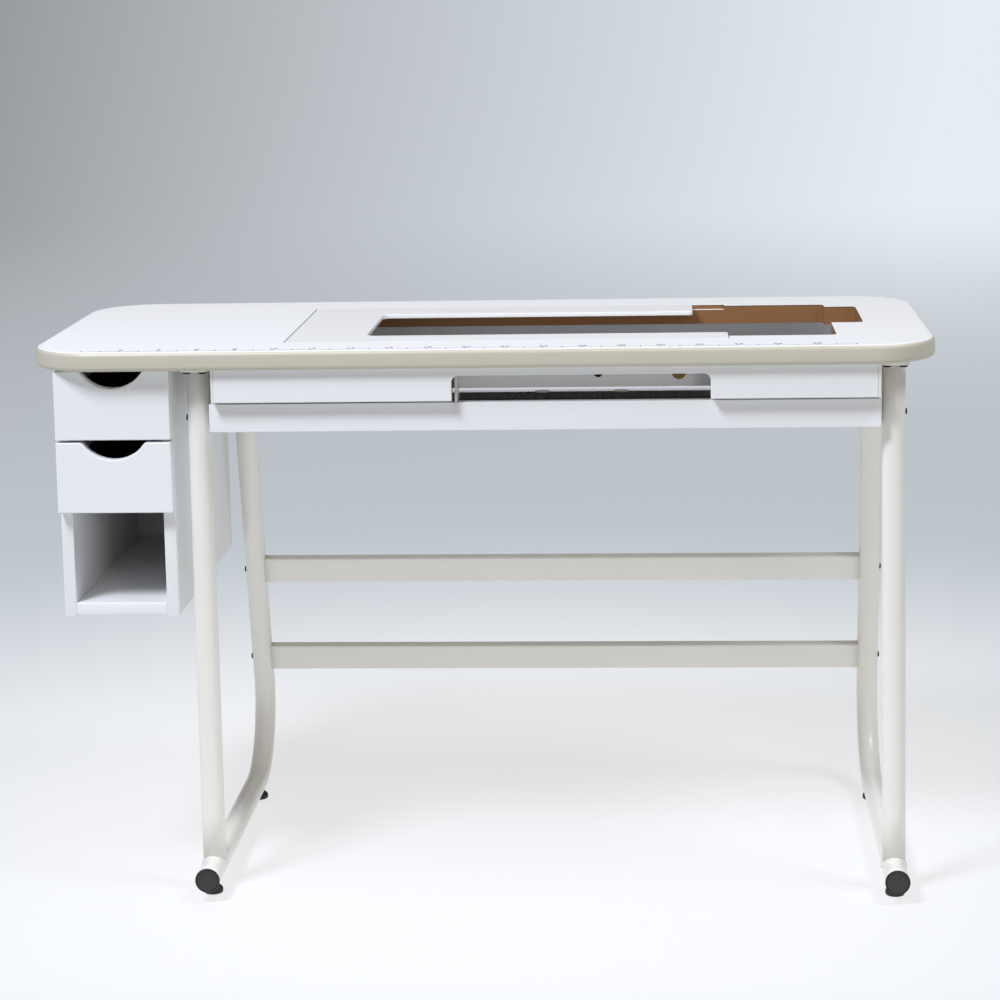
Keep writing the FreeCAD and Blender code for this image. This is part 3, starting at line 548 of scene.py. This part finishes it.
def board(node_name, ease):
    """The plate that fills a node's box, lying across its thinnest side."""
    low, high = (np.array(corner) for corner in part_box(node_name))
    thin = int(np.argmin(high - low))
    plane = ("yz", "xz", "xy")[thin]
    u, v = [axis for axis in range(3) if axis != thin]
    corners = [(low[u], low[v]), (high[u], low[v]), (high[u], high[v]), (low[u], high[v])]
    outline, normals = rounded_outline(corners, [ease * 1.2] * 4, 4)
    return plate(outline, normals, low[thin], high[thin], ease, plane)


def turned(profile, centre, axis, around=64):
    """A profile of radii and heights turned about an axis through a centre, closed at both poles."""
    radii, heights = np.array(profile, float).T[..., None]
    angles = circle(around)
    local = surface(radii * np.cos(angles), radii * np.sin(angles), heights).reshape(-1, 3)
    order = {"z": [0, 1, 2], "y": [0, 2, 1]}[axis]
    return capped(local[:, order] + np.array(centre), len(profile), around)


def upright_path(x, steps=48):
    """Centre line of a bent frame tube and its direction at each point, in the upright plane at x.

    A level run, an arc whose back touches the back of the tube's box, and a straight leaning leg.
    """
    angles = np.linspace(0, np.pi / 2 + LEAN, steps)
    arc_y = BEND_START_Y + BEND_R * np.sin(angles)
    arc_z = TUBE_Z + BEND_R * (1 - np.cos(angles))
    run_y = np.linspace(TUBE_FRONT_Y, BEND_START_Y, 24, endpoint=False)
    share = np.linspace(0, 1, 25)[1:]
    rise = LEG_TOP_Z - arc_z[-1]
    leg_y = arc_y[-1] - share * rise * math.tan(LEAN)
    leg_z = arc_z[-1] + share * rise
    y = np.concatenate([run_y, arc_y, leg_y])
    z = np.concatenate([np.full(len(run_y), TUBE_Z), arc_z, leg_z])
    turn = np.concatenate([np.zeros(len(run_y)), angles, np.full(len(leg_y), angles[-1])])
    return surface(x, y, z), surface(0.0, np.cos(turn), np.sin(turn))


def rear_leg_y(z):
    """Y of the rear leg's axis at a height on its straight part."""
    foot_y = BEND_START_Y + BEND_R * math.cos(LEAN)
    foot_z = TUBE_Z + BEND_R * (1 + math.sin(LEAN))
    return foot_y - (z - foot_z) * math.tan(LEAN)


def bent_tube(x, around=64):
    """A circle carried square to the frame's path. The last ring slides along the leg to a level cut."""
    points, heading = upright_path(x)
    sideways = np.array([1.0, 0, 0])
    upwards = np.cross(sideways, heading)
    angles = circle(around)
    rings = (points[:, None] + TUBE_R * (np.cos(angles)[None, :, None] * sideways
             + np.sin(angles)[None, :, None] * upwards[:, None]))
    over = (LEG_TOP_Z - rings[-1, :, 2]) / heading[-1, 2]
    rings[-1] += over[:, None] * heading[-1]
    return capped(rings.reshape(-1, 3), len(rings), around)


def saddle(angles, radius):
    """Height above the bottom tube's axis of the line where an upright tube of the same size meets it."""
    return np.sqrt(np.maximum(radius ** 2 - (radius * np.cos(angles)) ** 2, 0))


def front_leg(x, around=96):
    """An upright cylinder whose foot follows the saddle of the bottom tube, just inside its wall."""
    angles = circle(around)
    foot = TUBE_Z + saddle(angles, TUBE_R) - 0.6 * MM
    share = np.linspace(0, 1, 12)[:, None]
    z = foot + (LEG_TOP_Z - foot) * share
    rings = surface(x + TUBE_R * np.cos(angles), LEG_Y + TUBE_R * np.sin(angles), z)
    return capped(rings.reshape(-1, 3), len(rings), around)


def weld_bead(line, bead, ripple=0.14, ripples=46, sides=10):
    """A small round carried along a closed line, swelling and shrinking as laid-down weld pools do."""
    ahead = np.roll(line, -1, 0) - np.roll(line, 1, 0)
    ahead /= np.linalg.norm(ahead, axis=1, keepdims=True)
    outwards = line - line.mean(0)
    outwards -= np.sum(outwards * ahead, axis=1, keepdims=True) * ahead
    outwards /= np.linalg.norm(outwards, axis=1, keepdims=True)
    besides = np.cross(ahead, outwards)
    turn = circle(sides)
    wave = 1 + ripple * np.abs(np.sin(np.linspace(0, ripples * np.pi, len(line), endpoint=False)))
    size = (bead * wave)[:, None, None]
    rings = line[:, None] + size * (np.cos(turn)[None, :, None] * outwards[:, None]
                                    + np.sin(turn)[None, :, None] * besides[:, None])
    return rings.reshape(-1, 3), ring_faces(len(rings), sides, True), []


def leg_welds(x, bead):
    """Beads round the foot of the front leg, and round the heads of both legs under the top plate."""
    angles = circle(240)
    across_leg = x + TUBE_R * np.cos(angles)
    along_leg = TUBE_R * np.sin(angles)
    head_z = LEG_TOP_Z - bead * 0.4
    foot = surface(across_leg, LEG_Y + along_leg, TUBE_Z + saddle(angles, TUBE_R))
    head = surface(across_leg, LEG_Y + along_leg, head_z)
    rear = surface(across_leg, rear_leg_y(head_z) + along_leg / math.cos(LEAN), head_z)
    return [weld_bead(line, bead) for line in (foot, head, rear)]


def stretcher(z, height=39 * MM, deep=16 * MM, corner=2.5 * MM):
    """A rounded bar between the rear legs, in line with them, each end cut to a leg's curve.

    The outline lies across the bar: u through it and v along the legs. An end point stands off the leg's
    axis by the root of the leg's radius squared less u squared.
    """
    half_d = deep / 2
    half_h = height / 2
    outline, _ = rounded_outline([(-half_d, -half_h), (half_d, -half_h), (half_d, half_h),
                                  (-half_d, half_h)], [corner] * 4, 8)
    u, v = outline.T
    y = rear_leg_y(z) + u * math.cos(LEAN) - v * math.sin(LEAN)
    up = z + u * math.sin(LEAN) + v * math.cos(LEAN)
    off = np.sqrt(TUBE_R ** 2 - u ** 2) - 0.4 * MM
    share = np.linspace(0, 1, 41)[:, None]
    x = FRAME_X[0] + off + (FRAME_X[1] - FRAME_X[0] - 2 * off) * share
    rings = surface(x, y, up)
    return capped(rings.reshape(-1, 3), len(rings), len(outline))


def moulding(soft):
    """The band's profile carried round the top's outline.

    The profile starts in a fine groove beside the laminate, crosses the top, turns down over a quarter
    round, down the face, back under another quarter round, and up its inner wall.
    """
    outline, normals = rounded_outline([(TOP_X[0], TOP_Y[0]), (TOP_X[1], TOP_Y[0]), (TOP_X[1], TOP_Y[1]),
                                        (TOP_X[0], TOP_Y[1])], [CORNER_R] * 4, 40)
    quarter = np.linspace(0, np.pi / 2, 10)
    soft = min(soft, EDGE_W - 0.7 * MM)
    top_inset = soft * (1 - np.sin(quarter))
    drop = soft * (1 - np.cos(quarter))
    groove_in = np.array([EDGE_W, EDGE_W - 0.25 * MM])
    groove_z = np.array([TOP_Z[1] - 0.5 * MM, TOP_Z[1] - 0.05 * MM])
    inset = np.concatenate([groove_in, top_inset, [0.0], top_inset[::-1], [EDGE_W]])
    z = np.concatenate([groove_z, TOP_Z[1] - drop, [sum(TOP_Z) / 2], TOP_Z[0] + drop[::-1], [TOP_Z[0]]])
    flat = outline[:, None] - normals[:, None] * inset[:, None]
    rings = surface(flat[..., 0], flat[..., 1], z)
    return rings.reshape(-1, 3), ring_faces(len(rings), len(z), True), []


def threaded_stud(x, y, low, high, radius, pitch, around=40):
    """A screw thread: the radius falls and rises once a pitch as height and turn go on together."""
    rows = int((high - low) / pitch * 8) + 1
    z = np.linspace(low, high, rows)[:, None]
    angles = circle(around)
    phase = (z / pitch - angles / TURN) % 1
    r = radius - 0.6 * pitch * np.abs(2 * phase - 1) * 0.9
    fade = np.clip((high - z) / pitch, 0, 1)
    r = r * fade + (radius - 0.6 * pitch) * (1 - fade)
    rings = surface(x + r * np.cos(angles), y + r * np.sin(angles), z)
    return capped(rings.reshape(-1, 3), rows, around)


def ribbed_mat(xs, ys, zs, pads, rib, towards):
    """A sheet with ribs that run front to back, its one long edge drawn in round the rests.

    Height rises with the square root of the sine along x, once a rib. The edge that faces the machine
    follows the circles of the rests where they reach into it.
    """
    ribs = int((xs[1] - xs[0]) / rib)
    x = np.linspace(xs[0], xs[1], ribs * 8 + 1)
    wave = np.sqrt(np.abs(np.sin(np.pi * np.linspace(0, ribs, len(x)))))
    upper = zs[1] - 0.9 * MM * (1 - wave)
    edge = np.full(len(x), ys[1] if towards > 0 else ys[0])
    for (px, py), radius in pads:
        reach = np.sqrt(np.maximum(radius ** 2 - (x - px) ** 2, 0))
        near = np.where(reach > 0, py - towards * reach, edge)
        edge = np.minimum(edge, near) if towards > 0 else np.maximum(edge, near)
    other = ys[0] if towards > 0 else ys[1]
    rings = np.stack([surface(x, y, z) for y, z in ((other, zs[0]), (edge, zs[0]), (edge, upper),
                                                    (other, upper))], axis=1)
    return capped(rings.reshape(-1, 3), len(x), 4)


# ------------------------------------------------------------ what the operators build
def carry_over(names, material):
    """Gives kept nodes of the frame their finish."""
    for name in names:
        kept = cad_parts[name]
        kept.data.materials.clear()
        kept.data.materials.append(finish(material))


def build_top(sizes):
    carry_over(["tabletop"], "pressed_laminate")
    add_piece("soft_moulding", [moulding(sizes.moulding_round)], "extruded_soft_pvc", "table",
              "warm_grey_edging", ["edge_moulding"])


def build_insert(sizes):
    """The insert's outline as cut, with a bay for the machine's bed."""
    left, right = across("insert_plate", 0)
    front, rear = across("insert_plate", 1)
    bed_x = left + BED_LEFT
    bed_front = front + BED_FRONT
    bed_rear = rear - BED_REAR
    back_right = right - BACK_STRIP
    corners = [(left, front), (right, front), (right, bed_front), (bed_x, bed_front), (bed_x, bed_rear),
               (back_right, bed_rear), (back_right, rear), (left, rear)]
    radii = np.array([3, 3, 6, 13, 13, 6, 3, 3]) * MM
    outline, normals = rounded_outline(corners, radii, 10)
    low, high = across("insert_plate", 2)
    add_piece("lift_out_insert", [plate(outline, normals, low, high, 0.8 * MM)], "smooth_laminate_sheet",
              "insert", "white_insert_sheet", ["insert_plate"])


def build_ruler(sizes):
    """Ticks each sixteenth of an inch as thin blocks, and the even inches in figures behind them."""
    inch = sizes.ruler_inch
    count = np.arange(0, RULER_INCHES * 16 + 1)
    kind = np.select([count % 16 == 0, count % 8 == 0], [2, 1], 0)
    x = sizes.ruler_start + count * inch / 16
    front = TOP_Y[0] + RULER_SETBACK
    reach = np.array(TICK_LENGTHS)[kind]
    half = np.array(TICK_HALF_WIDTHS)[kind]
    low = TOP_Z[1] - 0.02 * MM
    high = TOP_Z[1] + 0.08 * MM
    corner_x = np.array([-1, 1, 1, -1, -1, 1, 1, -1])
    corner_y = np.array([0, 0, 1, 1, 0, 0, 1, 1])
    corner_z = np.array([low] * 4 + [high] * 4)
    points = surface(x[:, None] + half[:, None] * corner_x, front + reach[:, None] * corner_y,
                     corner_z).reshape(-1, 3)
    faces = np.array([[0, 3, 2, 1], [4, 5, 6, 7], [0, 1, 5, 4], [1, 2, 6, 5], [2, 3, 7, 6], [3, 0, 4, 7]])
    quads = (faces[None] + (np.arange(len(x)) * 8)[:, None, None]).reshape(-1, 4)
    add_piece("ruler_ticks", [(points, quads, [])], "ruler_ink", "table", "white_laminate_top")
    for figure in range(2, RULER_INCHES, 2):
        text = bpy.data.curves.new("figure", "FONT")
        text.body = str(figure)
        text.size = FIGURE_SIZE
        text.offset = 0.15 * MM
        text.extrude = 0.05 * MM
        text.align_x = "CENTER"
        shape = link_object("figure", text)
        bpy.context.view_layer.update()
        mesh = bpy.data.meshes.new_from_object(shape)
        bpy.data.objects.remove(shape)
        mesh.transform(Matrix.Translation((sizes.ruler_start + figure * inch, front + 9.5 * MM,
                                           TOP_Z[1] + 0.03 * MM)))
        mesh.materials.clear()
        mesh.materials.append(finish("ruler_ink"))
        piece = link_object(f"ruler_figure_{figure}", mesh)
        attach(piece, "table")


def build_frames(sizes):
    for side, x in zip(SIDES, FRAME_X):
        add_piece(side + "_swept_tube", [bent_tube(x)], *PAINTED, [side + "_bent_tube"])
        add_piece(side + "_upright", [front_leg(x)], *PAINTED, [side + "_front_leg"])
        add_piece(side + "_leg_welds", leg_welds(x, sizes.weld_bead), *PAINTED)
    carry_over(["left_top_plate", "right_top_plate", "foot_weld_nuts"], "powder_coated_steel")
    for level in ("upper", "lower"):
        z = sum(across(level + "_stretcher", 2)) / 2
        add_piece(level + "_cross_tube", [stretcher(z)], *PAINTED, [level + "_stretcher"])


def build_caps(sizes):
    """A pushed-in cap: a flat rim, a fine groove and a slightly domed face."""
    low, high = across("left_end_cap", 0)
    r = (high - low) / 2
    profile = [(0.2, 12.0), (13.5, 12.0), (13.9, 0.0), (r / MM, 0.0), (r / MM, -1.4), (r / MM - 0.3, -2.2),
               (r / MM - 0.9, -2.7), (r / MM - 1.7, -2.8), (r / MM - 2.4, -2.5), (r / MM - 2.7, -2.1),
               (r / MM - 3.1, -2.2), (11.5, -2.6), (8.0, -2.82), (4.0, -2.95), (0.2, -3.0)]
    profile = np.array(profile) * MM
    for side, x in zip(SIDES, FRAME_X):
        add_piece(side + "_domed_cap", [turned(profile, (x, TUBE_FRONT_Y, TUBE_Z), "y")],
                  "moulded_black_nylon", "table", "black_plastic", [side + "_end_cap"])


def build_feet(sizes):
    """Moulded pads on threaded studs."""
    for side in SIDES:
        for place in ("front", "rear"):
            foot = f"{side}_{place}_foot"
            low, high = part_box(foot + "_pad")
            x, y = (low.x + high.x) / 2, (low.y + high.y) / 2
            r = (high.x - low.x) / 2
            t = high.z - low.z
            profile = [(0.2 * MM, 0.0), (r - 2 * MM, 0.0), (r - 0.6 * MM, 0.5 * MM), (r, 1.8 * MM),
                       (r, t * 0.45), (r - 0.4 * MM, t * 0.58), (r - 2.2 * MM, t * 0.78),
                       (r - 4.2 * MM, t * 0.93), (r - 6.0 * MM, t), (4.3 * MM, t), (4.1 * MM, t - 1 * MM),
                       (0.2 * MM, t - 1.2 * MM)]
            add_piece(foot + "_glide", [turned(profile, (x, y, 0.0), "z")], "moulded_black_nylon", foot,
                      "black_plastic", [foot + "_pad"])
            bottom, top = across(foot + "_stud", 2)
            radius = (across(foot + "_stud", 0)[1] - across(foot + "_stud", 0)[0]) / 2
            add_piece(foot + "_thread",
                      [threaded_stud(x, y, bottom + 4 * MM, top, radius, sizes.thread_pitch)],
                      "zinc_plated_steel", foot, "dark_steel", [foot + "_stud"])


def build_aprons(sizes):
    """The front apron with its knee notch, the rear apron, and the steel pieces beside them."""
    low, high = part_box("front_apron")
    notch_left, notch_right = KNEE_NOTCH_X
    notch_top = high.z - KNEE_NOTCH_DROP
    ease = 1.2 * MM
    corners = [(low.x, low.z), (notch_left, low.z), (notch_left, notch_top), (notch_right, notch_top),
               (notch_right, low.z), (high.x, low.z), (high.x, high.z), (low.x, high.z)]
    radii = np.array([1.4, 1.4, 9.0, 9.0, 1.4, 1.4, 1.4, 1.4]) * MM
    outline, normals = rounded_outline(corners, radii, 8)
    front = plate(outline, normals, low.y, high.y, ease, "xz")
    piece = add_piece("notched_apron", [front], *BOARDED, ["front_apron"])
    piece.data.materials.append(finish("cut_fibreboard"))
    middles = np.zeros(len(piece.data.polygons) * 3)
    piece.data.polygons.foreach_get("center", middles)
    middles = middles.reshape(-1, 3)
    cut = ((middles[:, 0] > notch_left - 0.1 * MM) & (middles[:, 0] < notch_right + 0.1 * MM)
           & (middles[:, 2] < notch_top + 0.2 * MM) & (middles[:, 1] > low.y + ease)
           & (middles[:, 1] < high.y - ease * 0.5))
    piece.data.polygons.foreach_set("material_index", cut.astype(np.int32))
    add_piece("rear_apron_board", [board("rear_apron", sizes.board_ease)], *BOARDED, ["rear_apron"])
    carry_over(["left_apron_bracket", "right_apron_bracket"], "powder_coated_steel")
    carry_over(["knee_notch_guard"], "melamine_faced_board")


def build_hanging_board(sizes):
    carry_over(["well_front_board"], "drilled_melamine_board")
    carry_over(["cam_locks"], "turned_brass_in_shade")
    carry_over(["cam_trims"], "white_polypropylene")


def build_platform(sizes):
    for name in ("front", "rear", "left", "right"):
        node_name = f"platform_{name}_rail"
        add_piece(name + "_rail_board", [board(node_name, sizes.board_ease)], *BOARDED, [node_name])
    carry_over(["platform_board", "platform_cleats"], "melamine_faced_board")
    carry_over(["machine_rest_pads"], "pale_rubber")
    low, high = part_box("platform_mats")
    rest_low, rest_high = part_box("machine_rest_pads")
    rest_x = (rest_low.x + REST_R, rest_high.x - REST_R)
    spans = [((low.y, low.y + MAT_DEPTH), rest_low.y + REST_R, 1),
             ((high.y - MAT_DEPTH, high.y), rest_high.y - REST_R, -1)]
    for name, (ys, rest_y, towards) in zip(("front", "rear"), spans):
        pads = [((x, rest_y), REST_R) for x in rest_x]
        mat = ribbed_mat((low.x, high.x), ys, (low.z, high.z), pads, sizes.mat_rib, towards)
        add_piece(name + "_ribbed_mat", [mat], "ribbed_black_rubber_and_shade", "table", "black_rubber",
                  ["platform_mats"])


def build_unit(sizes):
    for name in ("left_panel", "right_panel", "floor", "middle_shelf", "back_panel"):
        node_name = "unit_" + name
        add_piece("unit_eased_" + name, [board(node_name, sizes.board_ease)], *BOARDED, [node_name])
    carry_over(["unit_top_rails", "drawer_runners"], "melamine_faced_board")


def scooped_outline(x0, x1, z0, z1, corner=1.6 * MM):
    """A drawer front's outline. The scoop is a wide arc that runs into two shoulder arcs at the top edge.

    The arcs meet where both have turned by the angle whose cosine is one less the depth over the sum of
    the radii, so each is the round of a corner of the straight lines that touch it there.
    """
    reach = SCOOP_R + SCOOP_SHOULDER_R
    turn = math.acos(1 - SCOOP_DEPTH / reach)
    middle = (x0 + x1) / 2
    half = reach * math.sin(turn) - SCOOP_SHOULDER_R * math.tan(turn / 2)
    corners = [(x0, z0), (x1, z0), (x1, z1), (middle + half, z1), (middle, z1 - half * math.tan(turn)),
               (middle - half, z1), (x0, z1)]
    radii = [corner, corner, corner, SCOOP_SHOULDER_R, SCOOP_R, SCOOP_SHOULDER_R, corner]
    return rounded_outline(corners, radii, 24)


def build_drawers(sizes):
    for level in ("upper", "lower"):
        body = level + "_drawer"
        low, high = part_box(body + "_front")
        outline, normals = scooped_outline(low.x, high.x, low.z, high.z)
        add_piece(level + "_scooped_front", [plate(outline, normals, low.y, high.y, 1.4 * MM, "xz")],
                  "melamine_faced_board", body, "white_drawer_board", [body + "_front"])
        for name in ("left_side", "right_side", "back", "floor"):
            node_name = f"{body}_{name}"
            add_piece(f"{level}_box_{name}", [board(node_name, 0.6 * MM)], "dark_drawer_board_and_shade", body,
                      "dark_drawer_board", [node_name])


def build_hardware(sizes):
    carry_over(["wood_screws", "stretcher_bolts", "platform_bolts"], "black_oxide_steel")
    carry_over(["stretcher_nut_blocks"], "zinc_plated_steel")
    carry_over(["platform_spacers"], "powder_coated_steel")


def soft_light(name, place, aim, size, watts, tint):
    """A large square lamp that faces a point."""
    lamp = bpy.data.lights.new(name, "AREA")
    lamp.size = size
    lamp.energy = watts
    lamp.color = linear(tint)[:3]
    made = link_object(name, lamp)
    away = np.array(place, float) - np.array(aim, float)
    away /= np.linalg.norm(away)
    side = np.cross((0, 0, 1), away)
    side /= np.linalg.norm(side)
    turn = Matrix(np.stack([side, np.cross(away, side), away], axis=1).tolist()).to_4x4()
    made.matrix_world = Matrix.Translation(place) @ turn


def lit_floor(colours):
    """A white acrylic floor that is lit from below: brightest round the table.

    Its glow falls with the distance from the table and towards the front. Far behind the table it also
    rises from left to right, by the slope of the line of sight.
    """
    made, tree, shader, coordinates = start_material("backlit_acrylic_floor", tuple(colours.floor_near),
                                                     {"Roughness": 0.8, "Specular IOR Level": 0.1})
    place = node(tree, "SeparateXYZ", {}, {"Vector": coordinates.outputs["Object"]})
    length = node(tree, "VectorMath", {"operation": "LENGTH"}, {0: coordinates.outputs["Object"]})
    fade = node(tree, "MapRange",
                {"interpolation_type": "SMOOTHSTEP", "From Min": GLOW_SPAN[0],
                 "From Max": GLOW_SPAN[1]}, {"Value": length.outputs["Value"]})
    tint = node(tree, "Mix", {"data_type": "RGBA", 6: tuple(colours.floor_near),
                              7: tuple(colours.floor_far)}, {"Factor": fade.outputs["Result"]})
    paint = node(tree, "Mix", {"data_type": "RGBA", "blend_type": "MULTIPLY", 0: 1.0,
                               7: (0.3, 0.3, 0.3, 1)}, {6: tint.outputs[2]})
    distance = node(tree, "Math", {"operation": "ADD", 1: 4.0}, {0: place.outputs["Y"]})
    slant = node(tree, "Math", {"operation": "DIVIDE"}, {0: place.outputs["X"], 1: distance.outputs[0]})
    side = node(tree, "MapRange", {"From Min": -0.27, "From Max": 0.11,
                                   "To Min": GLOW_SIDES[0], "To Max": GLOW_SIDES[1]},
                {"Value": slant.outputs[0]})
    far = node(tree, "MapRange", {"interpolation_type": "SMOOTHSTEP", "From Min": 2.0,
                                  "From Max": 10.0}, {"Value": place.outputs["Y"]})
    uneven = node(tree, "Mix", {"data_type": "FLOAT", 2: 1.0},
                  {"Factor": far.outputs["Result"], 3: side.outputs["Result"]})
    dim = node(tree, "MapRange", {"To Min": GLOW[0], "To Max": GLOW[1]},
               {"Value": fade.outputs["Result"]})
    front = node(tree, "MapRange", {"interpolation_type": "SMOOTHSTEP", "From Min": -1.25,
                                    "From Max": -0.5, "To Min": GLOW_IN_FRONT, "To Max": 1.0},
                 {"Value": place.outputs["Y"]})
    level = node(tree, "Math", {"operation": "MULTIPLY"},
                 {0: dim.outputs["Result"], 1: uneven.outputs[0]})
    glow = node(tree, "Math", {"operation": "MULTIPLY"},
                {0: level.outputs[0], 1: front.outputs["Result"]})
    tree.links.new(paint.outputs[2], shader.inputs["Base Color"])
    tree.links.new(tint.outputs[2], shader.inputs["Emission Color"])
    tree.links.new(glow.outputs[0], shader.inputs["Emission Strength"])
    return made


def build_stage(colours):
    """A wide floor of flat rings, a dim sky, soft lamps and the camera."""
    scene = bpy.context.scene
    radii = np.array(FLOOR_RADII)[:, None]
    angles = circle(96)
    rings = surface(radii * np.cos(angles), radii * np.sin(angles), 0.0)
    mesh = bpy.data.meshes.new("studio_floor")
    mesh.from_pydata(rings.reshape(-1, 3).tolist(), [], ring_faces(*rings.shape[:2]).tolist())
    mesh.materials.append(lit_floor(colours))
    link_object("studio_floor", mesh)

    scene.world = bpy.data.worlds.new("studio_sky")
    scene.world.use_nodes = True
    sky = scene.world.node_tree.nodes["Background"]
    sky.inputs["Color"].default_value = linear(SKY_COLOUR)
    sky.inputs["Strength"].default_value = SKY_STRENGTH
    scene.view_settings.view_transform = "Standard"
    for lamp in LAMPS:
        soft_light(*lamp)

    lens = bpy.data.cameras.new("studio_camera")
    lens.sensor_width = SENSOR
    lens.lens = CAMERA_LENS
    lens.shift_y = CAMERA_SHIFT_Y
    lens.clip_end = 200.0
    camera = link_object("studio_camera", lens)
    yaw, pitch, roll = CAMERA_TURNS
    camera.matrix_world = (Matrix.Translation(CAMERA_PLACE) @ Matrix.Rotation(yaw, 4, "Z")
                           @ Matrix.Rotation(math.pi / 2 - pitch, 4, "X") @ Matrix.Rotation(roll, 4, "Z"))
    scene.camera = camera


# ------------------------------------------------------------ operators
class SEWING_OT_finishes(bpy.types.Operator):
    """Make the table's finishes"""
    bl_idname = "sewing_table.finishes"
    bl_label = "Finishes"

    def execute(self, context):
        make_finishes()
        return {"FINISHED"}


class SEWING_OT_top(bpy.types.Operator):
    """Finish the laminate top and sweep its soft moulding"""
    bl_idname = "sewing_table.top"
    bl_label = "Top and moulding"

    def execute(self, context):
        build_top(context.scene.sewing_table_sizes)
        return {"FINISHED"}


class SEWING_OT_insert(bpy.types.Operator):
    """Build the lift-out insert of the machine opening"""
    bl_idname = "sewing_table.insert"
    bl_label = "Insert"

    def execute(self, context):
        build_insert(context.scene.sewing_table_sizes)
        return {"FINISHED"}


class SEWING_OT_ruler(bpy.types.Operator):
    """Print the ruler along the front of the top"""
    bl_idname = "sewing_table.ruler"
    bl_label = "Ruler"

    def execute(self, context):
        build_ruler(context.scene.sewing_table_sizes)
        return {"FINISHED"}


class SEWING_OT_frames(bpy.types.Operator):
    """Sweep the side frames, their welds and the stretchers"""
    bl_idname = "sewing_table.frames"
    bl_label = "Side frames"

    def execute(self, context):
        build_frames(context.scene.sewing_table_sizes)
        return {"FINISHED"}


class SEWING_OT_caps(bpy.types.Operator):
    """Turn the caps of the bottom tubes"""
    bl_idname = "sewing_table.caps"
    bl_label = "Tube caps"

    def execute(self, context):
        build_caps(context.scene.sewing_table_sizes)
        return {"FINISHED"}


class SEWING_OT_feet(bpy.types.Operator):
    """Turn the levelling feet and cut their threads"""
    bl_idname = "sewing_table.feet"
    bl_label = "Levelling feet"

    def execute(self, context):
        build_feet(context.scene.sewing_table_sizes)
        return {"FINISHED"}


class SEWING_OT_aprons(bpy.types.Operator):
    """Build the aprons with the knee notch"""
    bl_idname = "sewing_table.aprons"
    bl_label = "Aprons"

    def execute(self, context):
        build_aprons(context.scene.sewing_table_sizes)
        return {"FINISHED"}


class SEWING_OT_hanging_board(bpy.types.Operator):
    """Finish the board in front of the machine and its cam locks"""
    bl_idname = "sewing_table.hanging_board"
    bl_label = "Hanging board"

    def execute(self, context):
        build_hanging_board(context.scene.sewing_table_sizes)
        return {"FINISHED"}


class SEWING_OT_platform(bpy.types.Operator):
    """Build the machine platform with its mats and rests"""
    bl_idname = "sewing_table.platform"
    bl_label = "Machine platform"

    def execute(self, context):
        build_platform(context.scene.sewing_table_sizes)
        return {"FINISHED"}


class SEWING_OT_unit(bpy.types.Operator):
    """Build the carcass of the drawer unit"""
    bl_idname = "sewing_table.unit"
    bl_label = "Drawer unit"

    def execute(self, context):
        build_unit(context.scene.sewing_table_sizes)
        return {"FINISHED"}


class SEWING_OT_drawers(bpy.types.Operator):
    """Build both drawers with their scooped fronts"""
    bl_idname = "sewing_table.drawers"
    bl_label = "Drawers"

    def execute(self, context):
        build_drawers(context.scene.sewing_table_sizes)
        return {"FINISHED"}


class SEWING_OT_hardware(bpy.types.Operator):
    """Finish the screws, bolts and spacers"""
    bl_idname = "sewing_table.hardware"
    bl_label = "Screws and bolts"

    def execute(self, context):
        build_hardware(context.scene.sewing_table_sizes)
        return {"FINISHED"}


class SEWING_OT_stage(bpy.types.Operator):
    """Set up the floor, the lamps and the camera"""
    bl_idname = "sewing_table.stage"
    bl_label = "Stage"

    def execute(self, context):
        build_stage(context.scene.sewing_table_colours)
        return {"FINISHED"}


OPERATORS = (
    SEWING_OT_finishes, SEWING_OT_top, SEWING_OT_insert, SEWING_OT_ruler, SEWING_OT_frames,
    SEWING_OT_caps, SEWING_OT_feet, SEWING_OT_aprons, SEWING_OT_hanging_board, SEWING_OT_platform,
    SEWING_OT_unit, SEWING_OT_drawers, SEWING_OT_hardware, SEWING_OT_stage)


class SEWING_PT_panel(bpy.types.Panel):
    """Lists the sizes, the colours and the pieces"""
    bl_label = "Sewing Table"
    bl_idname = "SEWING_PT_panel"
    bl_space_type = "VIEW_3D"
    bl_region_type = "UI"
    bl_category = "Sewing Table"

    def draw(self, context):
        for group in (context.scene.sewing_table_sizes, context.scene.sewing_table_colours):
            box = self.layout.box()
            for name in group.__annotations__:
                box.prop(group, name)
        for operator in OPERATORS:
            self.layout.operator(operator.bl_idname)


CLASSES = (SewingTableColours, SewingTableSizes, *OPERATORS, SEWING_PT_panel)


def register():
    for made in CLASSES:
        bpy.utils.register_class(made)
    bpy.types.Scene.sewing_table_colours = bpy.props.PointerProperty(type=SewingTableColours)
    bpy.types.Scene.sewing_table_sizes = bpy.props.PointerProperty(type=SewingTableSizes)


def unregister():
    del bpy.types.Scene.sewing_table_sizes
    del bpy.types.Scene.sewing_table_colours
    for made in reversed(CLASSES):
        bpy.utils.unregister_class(made)


def main():
    register()
    for operator in OPERATORS:
        getattr(bpy.ops.sewing_table, operator.bl_idname.split(".")[1])()


if __name__ == "__main__":
    main()
